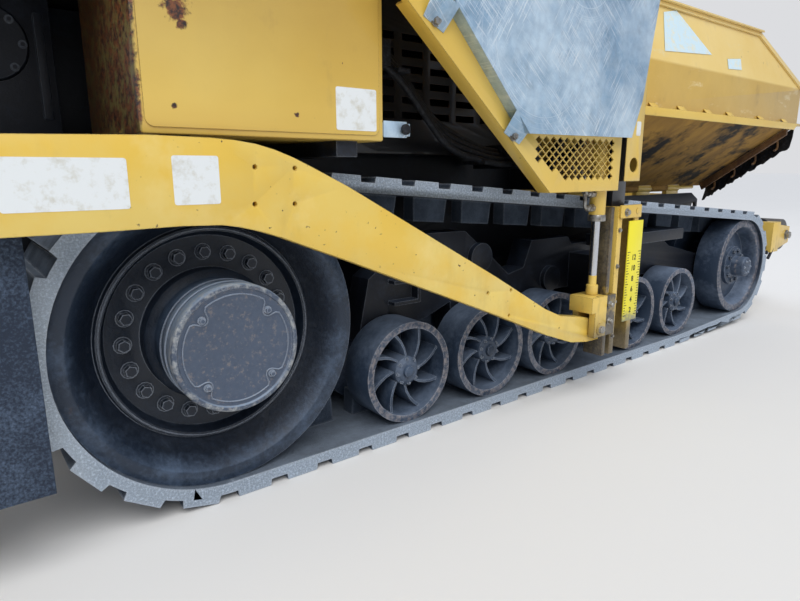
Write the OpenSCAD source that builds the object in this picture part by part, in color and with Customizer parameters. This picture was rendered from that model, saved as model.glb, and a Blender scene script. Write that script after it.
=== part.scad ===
/* [Track] */
// radius of the drive wheel
drive_r = 430; // [400:1:450]
// radius of a road roller
roller_r = 185; // [160:1:195]
// radius of the front idler
idler_r = 282; // [260:1:300]
// idler axle ahead of the drive axle
idler_x = 3277; // [3200:1:3400]
// idler's underside above the line of the rollers
idler_lift = 30; // [0:1:60]
// width of the belt
belt_w = 457; // [420:1:460]
// middle of the belt from the middle of the machine
belt_y = 971.5; // [965:0.5:985]
// thickness of the belt's band
band_t = 32; // [20:1:40]
// height of a lug
lug_h = 20; // [10:1:30]
// length of a lug along the belt
lug_l = 110; // [80:1:120]
// lugs round the belt
lug_count = 56; // [48:1:60]
// height of a guide block
guide_h = 90; // [60:1:90]
// length of a guide block along the belt
guide_l = 170; // [120:1:180]
// width of a guide block
guide_w = 60; // [40:1:70]
// guide blocks round the belt
guide_count = 36; // [30:1:38]
// width of one wheel of a pair
wheel_w = 145; // [130:1:150]
// outer faces of the wheels inside the belt's outer edge
wheel_inset = 20; // [10:1:30]
// hub cap of the drive wheel beyond the wheel's face
hub_out = 120; // [80:1:120]
// radius of that hub cap
hub_r = 175; // [150:1:190]
// clearance of an axle in its bore
fit_gap = 0.5; // [0.3:0.1:1]

/* [Chassis] */
// rear end of the side plates behind the drive axle
chassis_rear = 630; // [600:1:650]
// front end of the side plates ahead of the drive axle
chassis_front = 3550; // [3500:1:3600]
// outer faces of the side plates from the middle
chassis_y = 700; // [690:1:720]
// thickness of a side plate
chassis_t = 20; // [12:1:30]
// underside of the side plates
chassis_z = 330; // [300:1:360]
// top of the side plates under the engine and deck
chassis_top = 1010; // [1000:1:1020]
// radius of a final drive
final_r = 145; // [120:1:150]
// pitch of the cross bars under the conveyor floor
bar_pitch = 800; // [600:1:900]
// top of the conveyor floor
floor_z = 548; // [546:1:550]
// underside of the roof over the conveyor tunnel
tunnel_z = 895; // [880:1:900]
// pitch of the conveyor slats
slat_pitch = 232; // [200:1:300]
// radius of a conveyor's chain loop
chain_r = 62; // [50:1:66]
// middle height of a conveyor
chain_z = 500; // [495:1:510]

/* [Hopper] */
// rear end of the wings ahead of the drive axle
wing_rear = 1800; // [1795:1:1830]
// front end of the wings ahead of the drive axle
wing_front = 3700; // [3600:1:3720]
// hinge of a wing from the middle
wing_hinge_y = 700; // [690:1:705]
// hinge of a wing above the ground
wing_hinge_z = 830; // [825:1:840]
// outer face of a wing's upright band from the middle
wing_band_y = 1240; // [1200:1:1250]
// lower edge of that band
wing_band_z = 1210; // [1200:1:1240]
// fold between the band and the upper panel
wing_fold_z = 1422; // [1400:1:1450]
// top of the upper panel
wing_top_z = 1720; // [1600:1:1800]
// lean of the upper panel toward the middle
wing_lean = 100; // [20:1:120]
// thickness of a wing's plates
wing_t = 10; // [6:1:14]
// length of the wing's top edge
wing_top_l = 1435; // [1100:1:1500]
// height of the folded rim round a wing's top and front slope
wing_rim = 38; // [20:1:60]
// underside of the push beam
beam_z = 400; // [380:1:420]
// height of the push beam
beam_h = 200; // [160:1:220]
// radius of a push roller
push_r = 105; // [80:1:115]
// axis of the push rollers above the ground
push_z = 505; // [495:1:515]
// radius of the push beam's centre pin
push_pin_r = 25; // [20:1:30]
// radius of the push rollers' axles
push_axle_r = 20; // [15:1:25]
// half length of the push beam
beam_half = 1150; // [1100:1:1180]

/* [Engine and deck] */
// front wall of the engine housing ahead of the drive axle
house_front = 1740; // [1720:1:1745]
// rear wall of the engine housing ahead of the drive axle
house_rear = 430; // [420:1:440]
// outer faces of the housing from the middle
house_y = 760; // [740:1:780]
// top of the housing's walls
house_z = 1880; // [1800:1:1900]
// height of the hood
hood_h = 160; // [120:1:200]
// thickness of sheet panels
sheet_t = 5; // [3:1:8]
// walking surface of the operator's deck
deck_z = 1500; // [1490:1:1520]
// half width of the deck
deck_half = 1200; // [1180:1:1210]
// rear edge of the deck behind the drive axle
deck_rear = 980; // [960:1:1000]
// front wall of the operator's consoles ahead of the drive axle
console_front = 400; // [390:1:410]
// middle of a seat behind the drive axle
seat_x = 450; // [400:1:500]
// middle of a seat from the middle
seat_y = 750; // [700:1:800]
// handrails inside the deck's edge
rail_in = 30; // [20:1:50]
// top rail above the ground
rail_z = 2400; // [2300:1:2500]
// radius of a rail
rail_r = 17; // [14:1:20]
// outer face of a side box from the middle
box_y = 1300; // [1290:1:1305]
// underside of the canopy roof
roof_z = 3350; // [3200:1:3450]
// height of the canopy's edge
roof_h = 90; // [60:1:100]
// half width of the canopy
roof_half = 1260; // [1200:1:1300]
// front edge of the canopy ahead of the drive axle
roof_front = 680; // [600:1:700]
// rear edge of the canopy behind the drive axle
roof_rear = 1080; // [1000:1:1100]

/* [Tow gear] */
// outer face of a tow arm from the middle
arm_y = 1360; // [1355:1:1360]
// thickness of a tow arm
arm_t = 40; // [30:1:45]
// tow pin ahead of the drive axle
pin_x = 1502; // [1495:1:1505]
// tow pin above the ground
pin_z = 304; // [300:1:310]
// radius of the tow pin
pin_r = 25; // [20:1:28]
// tow cylinder ahead of the drive axle
ram_x = 1510; // [1500:1:1515]
// tow cylinder from the middle
ram_y = 1340; // [1335:1:1345]
// radius of a tow cylinder's barrel
ram_r = 32; // [28:1:34]
// radius of a tow cylinder's rod
ram_rod = 16; // [12:1:20]
// lower end of a tow cylinder's barrel
ram_z = 743; // [735:1:760]
// outer face of the guard frames from the middle
guard_y = 1400; // [1395:1:1410]
// outer face of the shield plates beyond the guard frames
shield_out = 45; // [30:1:60]

/* [Screed] */
// front face of the screed behind the drive axle
screed_front = 1180; // [1160:1:1190]
// length of the screed along the machine
screed_l = 780; // [700:1:790]
// half width of the main screed
screed_half = 1525; // [1400:1:1525]
// underside of the screed above the ground as it hangs
screed_z = 12; // [5:1:30]
// top of the screed's housing
screed_top = 420; // [380:1:440]
// length of an extender along the machine
extender_l = 480; // [400:1:500]
// radius of the extenders' slide tubes
tube_r = 40; // [30:1:45]
// slide tubes behind the drive axle
tube_x = [1560, 1800];
// slide tubes above the ground
tube_z = 260; // [250:1:270]
// auger's axis behind the drive axle
auger_x = 880; // [870:1:890]
// auger's axis above the ground
auger_z = 330; // [300:1:340]
// radius of the auger's flight
auger_r = 195; // [150:1:200]
// pitch of the auger's flight
auger_pitch = 330; // [250:1:400]

/* [Hidden] */
$fn = 64;
paint = [0.85, 0.70, 0.31];
black = [0.09, 0.09, 0.10];
grey = [0.45, 0.46, 0.48];
zinc = [0.62, 0.66, 0.70];
chrome = [0.80, 0.82, 0.84];
belt_t = band_t + lug_h;
// the wheels' rims stand this far off the band
rim_gap = 0.3;
drive_z = drive_r + belt_t;
roller_z = roller_r + belt_t;
idler_z = idler_r + belt_t + idler_lift;
rollers = [679, 1096, 1501, 2126, 2556];
wheel_face = belt_y + belt_w / 2 - wheel_inset;
// ends of the whole machine from the drive axle, and its middle
// centre pin of the push beam, clear of the belts, and axis of its rollers, ahead of the drive axle
push_pin_x = max(chassis_front + 180, idler_x + idler_r + belt_t + 100);
roller_x = push_pin_x + 300;
front_end = roller_x + push_r;
step_l = 330;
rear_end = screed_front + screed_l + 15 + extender_l + step_l;
middle_x = (front_end - rear_end) / 2;
// x, height and radius of the wheels that the belt bends round
bends = [
    [0, drive_z, drive_r],
    [rollers[4], roller_z, roller_r],
    [idler_x, idler_z, idler_r]
];

// Shapes placed by their limits; x is measured from the drive axle.
module at_axle() translate([-middle_x, 0, 0]) children();
module pair() {
    children();
    mirror([0, 1, 0]) children();
}
module box(x, y, z) translate([x[0], y[0], z[0]]) cube([x[1] - x[0], y[1] - y[0], z[1] - z[0]]);
module rod_x(x, p, r) translate([x[0], p[0], p[1]]) rotate([0, 90, 0]) cylinder(x[1] - x[0], r, r);
module rod_y(y, p, r) translate([p[0], y[1], p[1]]) rotate([90, 0, 0]) cylinder(y[1] - y[0], r, r);
module rod_z(z, p, r) translate([p[0], p[1], z[0]]) cylinder(z[1] - z[0], r, r);
module side_plate(y, points) translate([0, y[1], 0]) rotate([90, 0, 0]) linear_extrude(y[1] - y[0]) polygon(points);
module cross_plate(x, points) translate([x[0], 0, 0]) rotate([90, 0, 90]) linear_extrude(x[1] - x[0]) polygon(points);
// A shape drawn face up is stood on the right side with that face outward.
module right_wheel(x, z) translate([x, -wheel_face, z]) rotate([90, 0, 0]) children();

// Belt: a loop round the drive wheel, last roller and idler.
function next(i) = (i + 1) % len(bends);
function gap_of(i) = let (a = bends[i], b = bends[next(i)]) norm([b[0] - a[0], b[1] - a[1]]);
function normal_of(i) = let (a = bends[i], b = bends[next(i)])
    atan2(b[1] - a[1], b[0] - a[0]) - acos((a[2] - b[2]) / gap_of(i));
function run_of(i) = sqrt(gap_of(i) ^ 2 - (bends[i][2] - bends[next(i)][2]) ^ 2);
function turn_of(i) = let (d = normal_of(next(i)) - normal_of(i)) d < 0 ? d + 360 : d;
function arc_of(i) = turn_of(i) * PI / 180 * (bends[next(i)][2] + band_t);
function loop_of(i = 0) = i == len(bends) ? 0 : run_of(i) + arc_of(i) + loop_of(i + 1);
function on_rim(i, a) = [bends[i][0] + bends[i][2] * cos(a), bends[i][1] + bends[i][2] * sin(a), a];
function place(s, i = 0) =
    s < run_of(i)
        ? let (p = on_rim(i, normal_of(i)), a = normal_of(i)) [p[0] - s * sin(a), p[1] + s * cos(a), a]
        : s < run_of(i) + arc_of(i)
            ? on_rim(next(i), normal_of(i) + (s - run_of(i)) / arc_of(i) * turn_of(i))
            : place(s - run_of(i) - arc_of(i), next(i));
module band(w) for (i = [0 : len(bends) - 1]) {
    p = on_rim(i, normal_of(i));
    b = bends[next(i)];
    translate([p[0], p[1], 0]) rotate(p[2]) cube([band_t, run_of(i), w]);
    translate([b[0], b[1], 0]) rotate(p[2]) rotate_extrude(angle = turn_of(i)) translate([b[2], 0]) square([band_t, w]);
}
module along_loop(count, start) for (k = [0 : count - 1]) {
    p = place((k + start) * loop_of() / count);
    translate([p[0], p[1]]) rotate(p[2] - 90) children();
}
module belt(side) {
    translate([0, side * belt_y + belt_w / 2, 0]) rotate([90, 0, 0]) {
        band(belt_w);
        linear_extrude(belt_w) along_loop(lug_count, 0.4)
            polygon([[-lug_l / 2, band_t - 8], [lug_l / 2, band_t - 8], [lug_l / 2 - 4, belt_t], [4 - lug_l / 2, belt_t]]);
    }
    translate([0, side * belt_y + guide_w / 2, 0]) rotate([90, 0, 0]) linear_extrude(guide_w)
        along_loop(guide_count, 0.5)
            polygon([[-guide_l / 2, 12], [guide_l / 2, 12], [guide_l / 2 - 8, -guide_h], [8 - guide_l / 2, -guide_h]]);
}
module belt_right() color(black) at_axle() belt(-1);
module belt_left() color(black) at_axle() belt(1);

// Drive wheels: two rims on one drum, a conical dish, a ring lip, and the hub with its cap.
module drive_wheel() right_wheel(0, drive_z) rotate_extrude() polygon([
    [0, hub_out - 6], [hub_r - 16, hub_out - 6], [hub_r - 14, hub_out], [hub_r - 4, hub_out], [hub_r, hub_out - 5],
    [hub_r, hub_out - 26], [hub_r - 6, hub_out - 28], [hub_r - 6, -40], [hub_r + 16, -60], [hub_r + 16, -105],
    [drive_r * 0.66, -105], [drive_r * 0.69, -70], [drive_r * 0.72, -70], [drive_r * 0.73, -88],
    [drive_r - 62, -22], [drive_r - 48, -8], [drive_r - 40, 0], [drive_r - rim_gap, 0],
    [drive_r - rim_gap, -wheel_w], [drive_r - 100, -wheel_w], [drive_r - 100, -2 * wheel_w],
    [drive_r - rim_gap, -2 * wheel_w], [drive_r - rim_gap, -3 * wheel_w], [drive_r - 35, -3 * wheel_w],
    [drive_r - 120, -2 * wheel_w - 20], [drive_r - 120, -130], [final_r, -130], [final_r, -200], [0, -200]
]);
module drive_wheels() color(black) at_axle() pair() drive_wheel();

// Road rollers: a spoked outer wheel and a plain inner wheel on one axle.
module spokes(r0, r1, count) {
    bow = [for (k = [0 : 4]) let (r = r0 - 2 + (r1 - r0 + 4) * k / 4) [r * cos(24 * k / 4), r * sin(24 * k / 4)]];
    back = [for (k = [4 : -1 : 0]) let (r = r0 - 2 + (r1 - r0 + 4) * k / 4) [r * cos(24 * k / 4) + 8, r * sin(24 * k / 4) - 6]];
    for (k = [0 : count - 1]) rotate(360 / count * k) polygon(concat(bow, back));
}
module roller() {
    rim = roller_r - rim_gap;
    rotate_extrude() polygon([
        [0, -12], [38, -12], [52, -22], [52, -wheel_w], [35, -wheel_w], [35, -2 * wheel_w],
        [rim, -2 * wheel_w], [rim, -3 * wheel_w], [rim - 28, -3 * wheel_w], [rim - 28, -2.6 * wheel_w],
        [0, -2.6 * wheel_w]
    ]);
    rotate_extrude() polygon([[rim - 24, 0], [rim, 0], [rim, -wheel_w], [rim - 24, -wheel_w]]);
    translate([0, 0, -wheel_w + 20]) linear_extrude(wheel_w - 50) spokes(52, roller_r - 26, 8);
}
module road_rollers() color(black) at_axle() pair()
    for (x = rollers) right_wheel(x, roller_z) roller();

// Front idlers: wide flat rims, a stepped dish with a bolted hub and a long hub cap.
module idler() {
    rim = idler_r - rim_gap;
    rotate_extrude() polygon([
        [0, 45], [52, 45], [60, 37], [60, -30], [118, -36], [118, -58], [150, -64], [idler_r - 62, -84],
        [idler_r - 48, -12], [idler_r - 40, 0], [rim, 0], [rim, -wheel_w], [125, -wheel_w],
        [125, -110], [40, -110], [40, -2 * wheel_w - 30], [125, -2 * wheel_w - 30], [125, -2 * wheel_w],
        [rim, -2 * wheel_w], [rim, -3 * wheel_w], [idler_r - 40, -3 * wheel_w],
        [idler_r - 60, -2 * wheel_w - 50], [0, -2 * wheel_w - 50]
    ]);
}
module idler_wheels() color(black) at_axle() pair() right_wheel(idler_x, idler_z) idler();

// Track frames: a beam in the gap of the wheels, with arms down to each axle.
module track_frame() {
    y = [-belt_y - 52, -belt_y + 52];
    difference() {
        union() {
            side_plate(y, [
                [560, 330], [610, 560], [800, 690], [900, 708], [1086, 704], [1234, 594], [1353, 500],
                [1450, 520], [1500, 637], [1760, 637], [1790, 600], [2560, 600], [2700, 520], [3060, 440],
                [3060, 330], [2800, 330], [2700, 380], [1320, 400], [1021, 429], [878, 376]
            ]);
            for (x = rollers) side_plate(y, [[x - 60, roller_z - 50], [x + 60, roller_z - 50], [x + 90, 450], [x - 90, 450]]);
            side_plate(y, [[3000, 330], [idler_x + 60, idler_z - 60], [idler_x + 60, idler_z + 60], [3000, 440]]);
        }
        for (x = rollers) rod_y([y[0] - 1, y[1] + 1], [x, roller_z], 35 + fit_gap);
        rod_y([y[0] - 1, y[1] + 1], [idler_x, idler_z], 40 + fit_gap);
    }
    for (x = [820, 2300]) box([x, x + 140], [y[1], -chassis_y], [440, 540]);
    box([1905, 2560], [-1170, y[0] + 5], [585, 640]);
    rod_y([y[0] - 24, y[0]], [1163, 592], 60);
    rod_y([y[0] - 24, y[0]], [1626, 454], 58);
    for (z = [455, 535]) box([698, 822], [y[0] - 40, y[0]], [z, z + 14]);
    box([808, 822], [y[0] - 40, y[0]], [469, 535]);
    box([1777, 1905], [post_y[1] + 10, -chassis_y], [360, 560]);
    side_plate([post_y[1], post_y[1] + 10], [[1600, 330], [1600, 600], [1905, 600], [1905, 330]]);
}
module track_frames() color(black) at_axle() pair() track_frame();

// Chassis: side plates with their brackets, and between them the cross bars, floor and tunnel roof.
// what stands between the side plates stops this far short of them
seam = 0.3;
inner_y = chassis_y - chassis_t - seam;
bulkhead_x = wing_rear - 35;
// last of the hinge tubes along a wing
hinge_end = min(wing_front - 400, chassis_front - 250);
// lashing eyes: x, height
lash_front = [chassis_front + 50, 700];
lash_rear = [-chassis_rear - 25, chassis_top + 100];
lash_r = 28;
// ends of the side plates' front nose: underside and top
nose_z = [655, 745];
module chassis_side() difference() {
    union() {
        side_plate([-chassis_y, chassis_t - chassis_y], [
            [-chassis_rear, chassis_z], [-chassis_rear, chassis_top], lash_rear - [50, 30], lash_rear + [-50, 50],
            lash_rear + [50, 50], [lash_rear[0] + 50, chassis_top], [bulkhead_x, chassis_top],
            [bulkhead_x, wing_hinge_z - 40], [chassis_front + 10, wing_hinge_z - 40],
            [chassis_front + 100, nose_z[1]], [chassis_front + 100, nose_z[0]], [chassis_front, beam_z + 180],
            [chassis_front, beam_z], [chassis_front - 100, chassis_z]
        ]);
        rod_y([-wheel_face + 200, -chassis_y], [0, drive_z], final_r);
        for (x = [-150, 330]) box([x, x + 70], [-box_y + 20, -chassis_y], [chassis_top - 30, chassis_top + 15]);
        box([-640, -600], [-1265, -chassis_y], [790, chassis_top]);
        for (x = [ram_plane - 33, ram_plane + 28]) cross_plate([x, x + 5], [
            [-chassis_y, 850], [-chassis_y, 1000], [wing_foot[0] - 40, 900], [wing_foot[0] - 30, 850]
        ]);
        rod_x([ram_plane - 33, ram_plane + 33], wing_foot, 16);
    }
    for (p = [lash_front, lash_rear]) rod_y([-chassis_y - 1, chassis_t - chassis_y + 1], p, lash_r);
}
module chassis_frame() color(black) at_axle() pair() chassis_side();
module conveyor_floor() color(black) at_axle() {
    for (x = [130 - chassis_rear : bar_pitch : chassis_front - 850])
        box([x, x + 90], [-inner_y, inner_y], [chassis_z + 10, 420]);
    box(floor_ends, [-inner_y, inner_y], [floor_z - 12, floor_z]);
    box(floor_ends, [-30, 30], [420, floor_z - 12]);
    box([-chassis_rear, house_front], [-inner_y, inner_y], [tunnel_z, tunnel_z + 12]);
}
module push_mount() color(paint) at_axle() difference() {
    union() {
        box([chassis_front, chassis_front + 130], [-chassis_y, chassis_y], [beam_z, 570]);
        for (z = [beam_z - 24, beam_z + beam_h + 4]) box([chassis_front + 100, push_pin_x + 50], [-80, 80], [z, z + 20]);
        box([chassis_front + 100, chassis_front + 130], [-80, 80], [beam_z - 4, beam_z + beam_h + 10]);
    }
    rod_z([beam_z - 100, beam_z + beam_h + 100], [push_pin_x, 0], push_pin_r + fit_gap);
}

// Conveyors: two chain loops a side, joined by slats.
chain_ends = [70 - chassis_rear, chassis_front - 70];
floor_ends = [chain_ends[0] + 55, chain_ends[1] - 55];
module conveyor() {
    x = chain_ends;
    bore = chain_r - 12;
    for (y = [-600, -90]) translate([0, y, 0]) rotate([90, 0, 0]) linear_extrude(20) difference() {
        union() {
            for (e = x) translate([e, chain_z]) circle(chain_r);
            translate([x[0], chain_z - chain_r]) square([x[1] - x[0], 2 * chain_r]);
        }
        for (e = x) translate([e, chain_z]) circle(bore);
        translate([x[0], chain_z - bore]) square([x[1] - x[0], 2 * bore]);
    }
    for (e = [x[0] : slat_pitch : x[1]], z = [chain_z + chain_r, chain_z - chain_r - 16])
        box([e - 16, e + 16], [-650, -50], [z, z + 16]);
    for (e = x) rod_y([chassis_t - chassis_y, -40], [e, chain_z], bore);
}
module conveyor_chains() color(grey) at_axle() pair() conveyor();

// Hopper body: bulkhead, sills along the conveyors and the wings' hinge tubes.
module hopper_body() color(paint) at_axle() {
    cross_plate([bulkhead_x, bulkhead_x + 15], [
        [-1040, 1075], [-1040, 1640], [1040, 1640], [1040, 1075], [chassis_y - 21, 860],
        [chassis_y - 21, 840], [21 - chassis_y, 840], [21 - chassis_y, 860]
    ]);
    pair() {
        cross_plate([wing_rear, chassis_front - 16], [
            [chassis_t - chassis_y, 560], [chassis_t - chassis_y, 780], [-630, 640], [-660, 560]
        ]);
        for (x = [wing_rear : 350 : hinge_end + 50]) {
            rod_x([x, x + 150], [-wing_hinge_y, wing_hinge_z], 22);
            rod_x([x + 150, x + 350], [-wing_hinge_y, wing_hinge_z], 12);
            box([x, x + 150], [-chassis_y - 10, -chassis_y + 20], [wing_hinge_z - 40, wing_hinge_z]);
        }
    }
    box([chassis_front - 15, chassis_front], [-inner_y, inner_y], [610, 780]);
}

// Hopper wings: sloping floor, upright band, leaning panel and the folded rim round its edge.
wing_slope = [[wing_rear + wing_top_l, wing_top_z], [wing_front, wing_fold_z + 25]];
module strip(a, b, t) translate(a) rotate(atan2(b[1] - a[1], b[0] - a[0])) square([norm(b - a), t]);
module wing() {
    h = [-wing_hinge_y, wing_hinge_z];
    difference() {
        union() {
            difference() {
                translate([wing_rear, 0, 0]) rotate([90, 0, 90]) linear_extrude(wing_front - wing_rear) {
                    strip([-wing_band_y, wing_band_z], [h[0] - 8, h[1] + 8], wing_t);
                    strip([-wing_band_y + wing_t, wing_band_z], [-wing_band_y + wing_t, wing_fold_z], wing_t);
                    strip([-wing_band_y + wing_lean, wing_top_z], [-wing_band_y, wing_fold_z], wing_t);
                    strip([-wing_band_y + wing_lean, wing_top_z - 8], [-wing_band_y + wing_lean - 35, wing_top_z - 8], 8);
                    translate([-wing_band_y - 40, wing_band_z - 8]) square([60, 12]);
                }
                side_plate([-1400, -600], [
                    wing_slope[0], wing_slope[1], wing_slope[1] + [20, 0], wing_slope[1] + [20, 300],
                    wing_slope[0] + [0, 40]
                ]);
            }
            intersection() {
                translate([wing_rear, 0, 0]) rotate([90, 0, 90]) linear_extrude(wing_front - wing_rear)
                    strip([-wing_band_y + wing_lean - 12, wing_top_z], [-wing_band_y - 12, wing_fold_z], wing_t + 14);
                side_plate([-1400, -600], [
                    [wing_rear, wing_top_z - wing_rim], wing_slope[0] - [8, wing_rim], wing_slope[1] - [0, wing_rim + 5],
                    wing_slope[1], wing_slope[0], [wing_rear, wing_top_z]
                ]);
            }
            for (x = [wing_rear + 155 : 350 : hinge_end]) rod_x([x, x + 190], h, 22);
        }
        for (x = [wing_rear - 1 : 350 : hinge_end + 50]) rod_x([x, x + 155], h, 30);
        rod_x([wing_rear - 5, wing_front], h, 12.3);
    }
    rod_x([ram_plane - 22, wing_rear + 5], wing_head, 12);
    cross_plate([wing_rear, wing_rear + 12], [[-1160, 1440], [-1232, 1440], [-1205, 1520], [-1160, 1520]]);
}
module hopper_wing_right() color(paint) at_axle() wing();
module hopper_wing_left() color(paint) at_axle() mirror([0, 1, 0]) wing();
// plane of the wing cylinders, and their foot and head: distance from the middle, height
ram_plane = 1732;
wing_foot = [-860, 870];
wing_head = [-1195, 1480];
wing_ram_l = norm(wing_head - wing_foot);
module along_ram() translate([ram_plane, wing_foot[0], wing_foot[1]])
    rotate([-atan2(wing_head[0] - wing_foot[0], wing_head[1] - wing_foot[1]), 0, 0]) children();
module wing_barrel() along_ram() difference() {
    union() {
        translate([0, 0, 20]) cylinder(wing_ram_l - 160, 26, 26);
        translate([0, 0, wing_ram_l - 175]) cylinder(35, 30, 30);
        rotate([0, 90, 0]) translate([0, 0, -20]) cylinder(40, 28, 28);
    }
    rotate([0, 90, 0]) translate([0, 0, -40]) cylinder(80, 16 + fit_gap, 16 + fit_gap);
    translate([0, 0, 60]) cylinder(wing_ram_l, 18 + fit_gap, 18 + fit_gap);
}
module wing_rod() along_ram() difference() {
    union() {
        translate([0, 0, 300]) cylinder(wing_ram_l - 325, 18, 18);
        translate([-15, 0, wing_ram_l]) rotate([0, 90, 0]) cylinder(30, 34, 34);
    }
    translate([-20, 0, wing_ram_l]) rotate([0, 90, 0]) cylinder(40, 23, 23);
}
module wing_barrel_right() color(black) at_axle() wing_barrel();
module wing_barrel_left() color(black) at_axle() mirror([0, 1, 0]) wing_barrel();
module wing_rod_right() color(chrome) at_axle() wing_rod();
module wing_rod_left() color(chrome) at_axle() mirror([0, 1, 0]) wing_rod();

// Push beam: a beam on a centre pin, with two rollers between cheeks.
beam_face = push_pin_x + 190;
cheek_t = 25;
module push_beam() color(paint) at_axle() difference() {
    union() {
        box([push_pin_x + 70, beam_face], [-beam_half, beam_half], [beam_z, beam_z + beam_h]);
        box([push_pin_x - 40, push_pin_x + 70], [-70, 70], [beam_z, beam_z + beam_h]);
        for (y = [-beam_half, -40, 15, beam_half - cheek_t])
            side_plate([y, y + cheek_t], [
                [beam_face, beam_z + 20], [beam_face, beam_z + beam_h - 20],
                [roller_x + 50, push_z + 55], [roller_x + 50, push_z - 55]
            ]);
        rod_z([beam_z - 40, beam_z + beam_h + 40], [push_pin_x, 0], push_pin_r);
    }
    rod_y([-beam_half - 5, beam_half + 5], [roller_x, push_z], push_axle_r + fit_gap);
}
module push_roller() {
    rod_y([-beam_half + cheek_t + 7, -47], [roller_x, push_z], push_r);
    rod_y([-beam_half, -16], [roller_x, push_z], push_axle_r);
}
module push_roller_right() color(paint) at_axle() push_roller();
module push_roller_left() color(paint) at_axle() mirror([0, 1, 0]) push_roller();

// Engine: a plain block of its size inside the housing.
module engine_block() color(grey) at_axle() box([560, 1600], [-380, 380], [tunnel_z + 12, 1650]);
// the column that carries a tow post: its limits ahead of the drive axle and its foot
column_x = [1590, 1702];
column_z = 898;
// hinge line of the hood, ahead of and above the housing's front edge
hood_pin = [house_front + 12, house_z + 12];
knuckle_r = 10;
module engine_housing() color(paint) at_axle() {
    difference() {
        box([house_rear, house_front], [-house_y, house_y], [chassis_top, house_z]);
        box([house_rear + sheet_t, house_front - sheet_t], [sheet_t - house_y, house_y - sheet_t], [chassis_top - 1, house_z + 1]);
        for (x = [house_rear + 90 : 150 : house_front - 200], z = [1150 : 60 : 1500])
            box([x, x + 110], [-house_y - 1, house_y + 1], [z, z + 28]);
        for (z = [1680, 1740, 1800]) box([house_rear - 1, house_rear + sheet_t + 1], [-500, 500], [z, z + 30]);
    }
    pair() {
        box([house_rear, column_x[1]], [-guard_y, -house_y], [1600, 1612]);
        difference() {
            box(column_x, [-guard_y, -guard_y + 100], [column_z, 1600]);
            box([column_x[0] + 5, column_x[1] - 5], [-guard_y + 5, -guard_y + 101], [column_z + 5, 1595]);
            rod_y([-guard_y - 1, -guard_y + 6], [1650, 962], 28);
        }
        box([1610, column_x[1]], [-guard_y + 60, -guard_y + 95], [post_top, column_z + 5]);
        box([1420, column_x[0]], [-1368, -1312], [1200, 1260]);
        for (y = [[-420, -382], [-338, -300]]) {
            rod_y(y, hood_pin, knuckle_r);
            box([house_front, hood_pin[0]], y, [house_z - 30, hood_pin[1]]);
        }
        rod_y([-420, -300], hood_pin, knuckle_r / 2);
    }
}
module engine_hood() color(paint) at_axle() difference() {
    union() {
        side_plate([-house_y, house_y], [
            [house_rear + 10, house_z + seam], [house_rear + 10, house_z + hood_h - 30], [house_rear + 60, house_z + hood_h],
            [house_front - 200, house_z + hood_h], [house_front, house_z + 60], [house_front, house_z + seam]
        ]);
        pair() {
            rod_y([-380, -340], hood_pin, knuckle_r);
            box([house_front - 1, hood_pin[0]], [-380, -340], [hood_pin[1] - 4, hood_pin[1] + 9]);
        }
    }
    pair() rod_y([-381, -339], hood_pin, knuckle_r / 2 + fit_gap);
    side_plate([sheet_t - house_y, house_y - sheet_t], [
        [house_rear + 15, house_z], [house_rear + 15, house_z + hood_h - 33], [house_rear + 62, house_z + hood_h - 5],
        [house_front - 202, house_z + hood_h - 5], [house_front - 5, house_z + 57], [house_front - 5, house_z]
    ]);
}

// Operator's deck: floor on posts, with two ladders behind.
module operator_deck() color(paint) at_axle() {
    box([-deck_rear, house_rear - 2], [-deck_half, deck_half], [deck_z - 40, deck_z]);
    pair() {
        box([-600, -480], [-chassis_y, -580], [chassis_top, deck_z - 40]);
        box([180, 300], [-chassis_y, -580], [chassis_top, deck_z - 40]);
        for (y = [-1000, -640]) box([-deck_rear - 30, -deck_rear], [y, y + 30], [950, deck_z]);
        for (z = [970, 1150, 1330]) box([-deck_rear - 30, -deck_rear + 120], [-970, -640], [z, z + 25]);
    }
}
module lift_brackets() color(paint) at_axle() pair() {
    box([lift_head[0] - 40, lift_head[0] + 40], [-lift_y + 38, -deck_half], [deck_z - 40, lift_head[1] + 40]);
    rod_y([-lift_y - 32, -lift_y + 38], lift_head, 14);
}
module side_boxes() color(paint) at_axle() pair() difference() {
    box([-200, 480], [-box_y, -800], [1025, 1460]);
    box([-195, 475], [sheet_t - box_y, -805], [1030, 1455]);
}
// Guard frames: a folded plate with a grille of diamonds; the shield is a flat plate with a folded edge.
guard_outline = [[460, 1416], [492, 1389], [1132, 863], [1552, 863], [1562, 1600], [460, 1600]];
guard_inside = [[475, 1422], [499, 1396], [1135, 869], [1546, 869], [1556, 1594], [475, 1594]];
module guard_frame() difference() {
    union() {
        side_plate([-guard_y, 25 - guard_y], guard_outline);
        side_plate([-guard_y, 55 - guard_y], [guard_outline[1], guard_outline[2], guard_inside[2], guard_inside[1]]);
    }
    side_plate([sheet_t - guard_y, 26 - guard_y], guard_inside);
    for (j = [0 : 8], i = [max(0, 4 - j) : 11 - j % 2])
        translate([1060 + 39 * i + 19.5 * (j % 2), -guard_y - 1, 918 + 15.6 * j]) rotate([-90, 0, 0])
            linear_extrude(sheet_t + 2) polygon([[-17, 0], [0, -13.2], [17, 0], [0, 13.2]]);
}
module guard_frames() color(paint) at_axle() pair() guard_frame();
shield_low = [959, 1057];
shield_top = [623, 1401];
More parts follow.
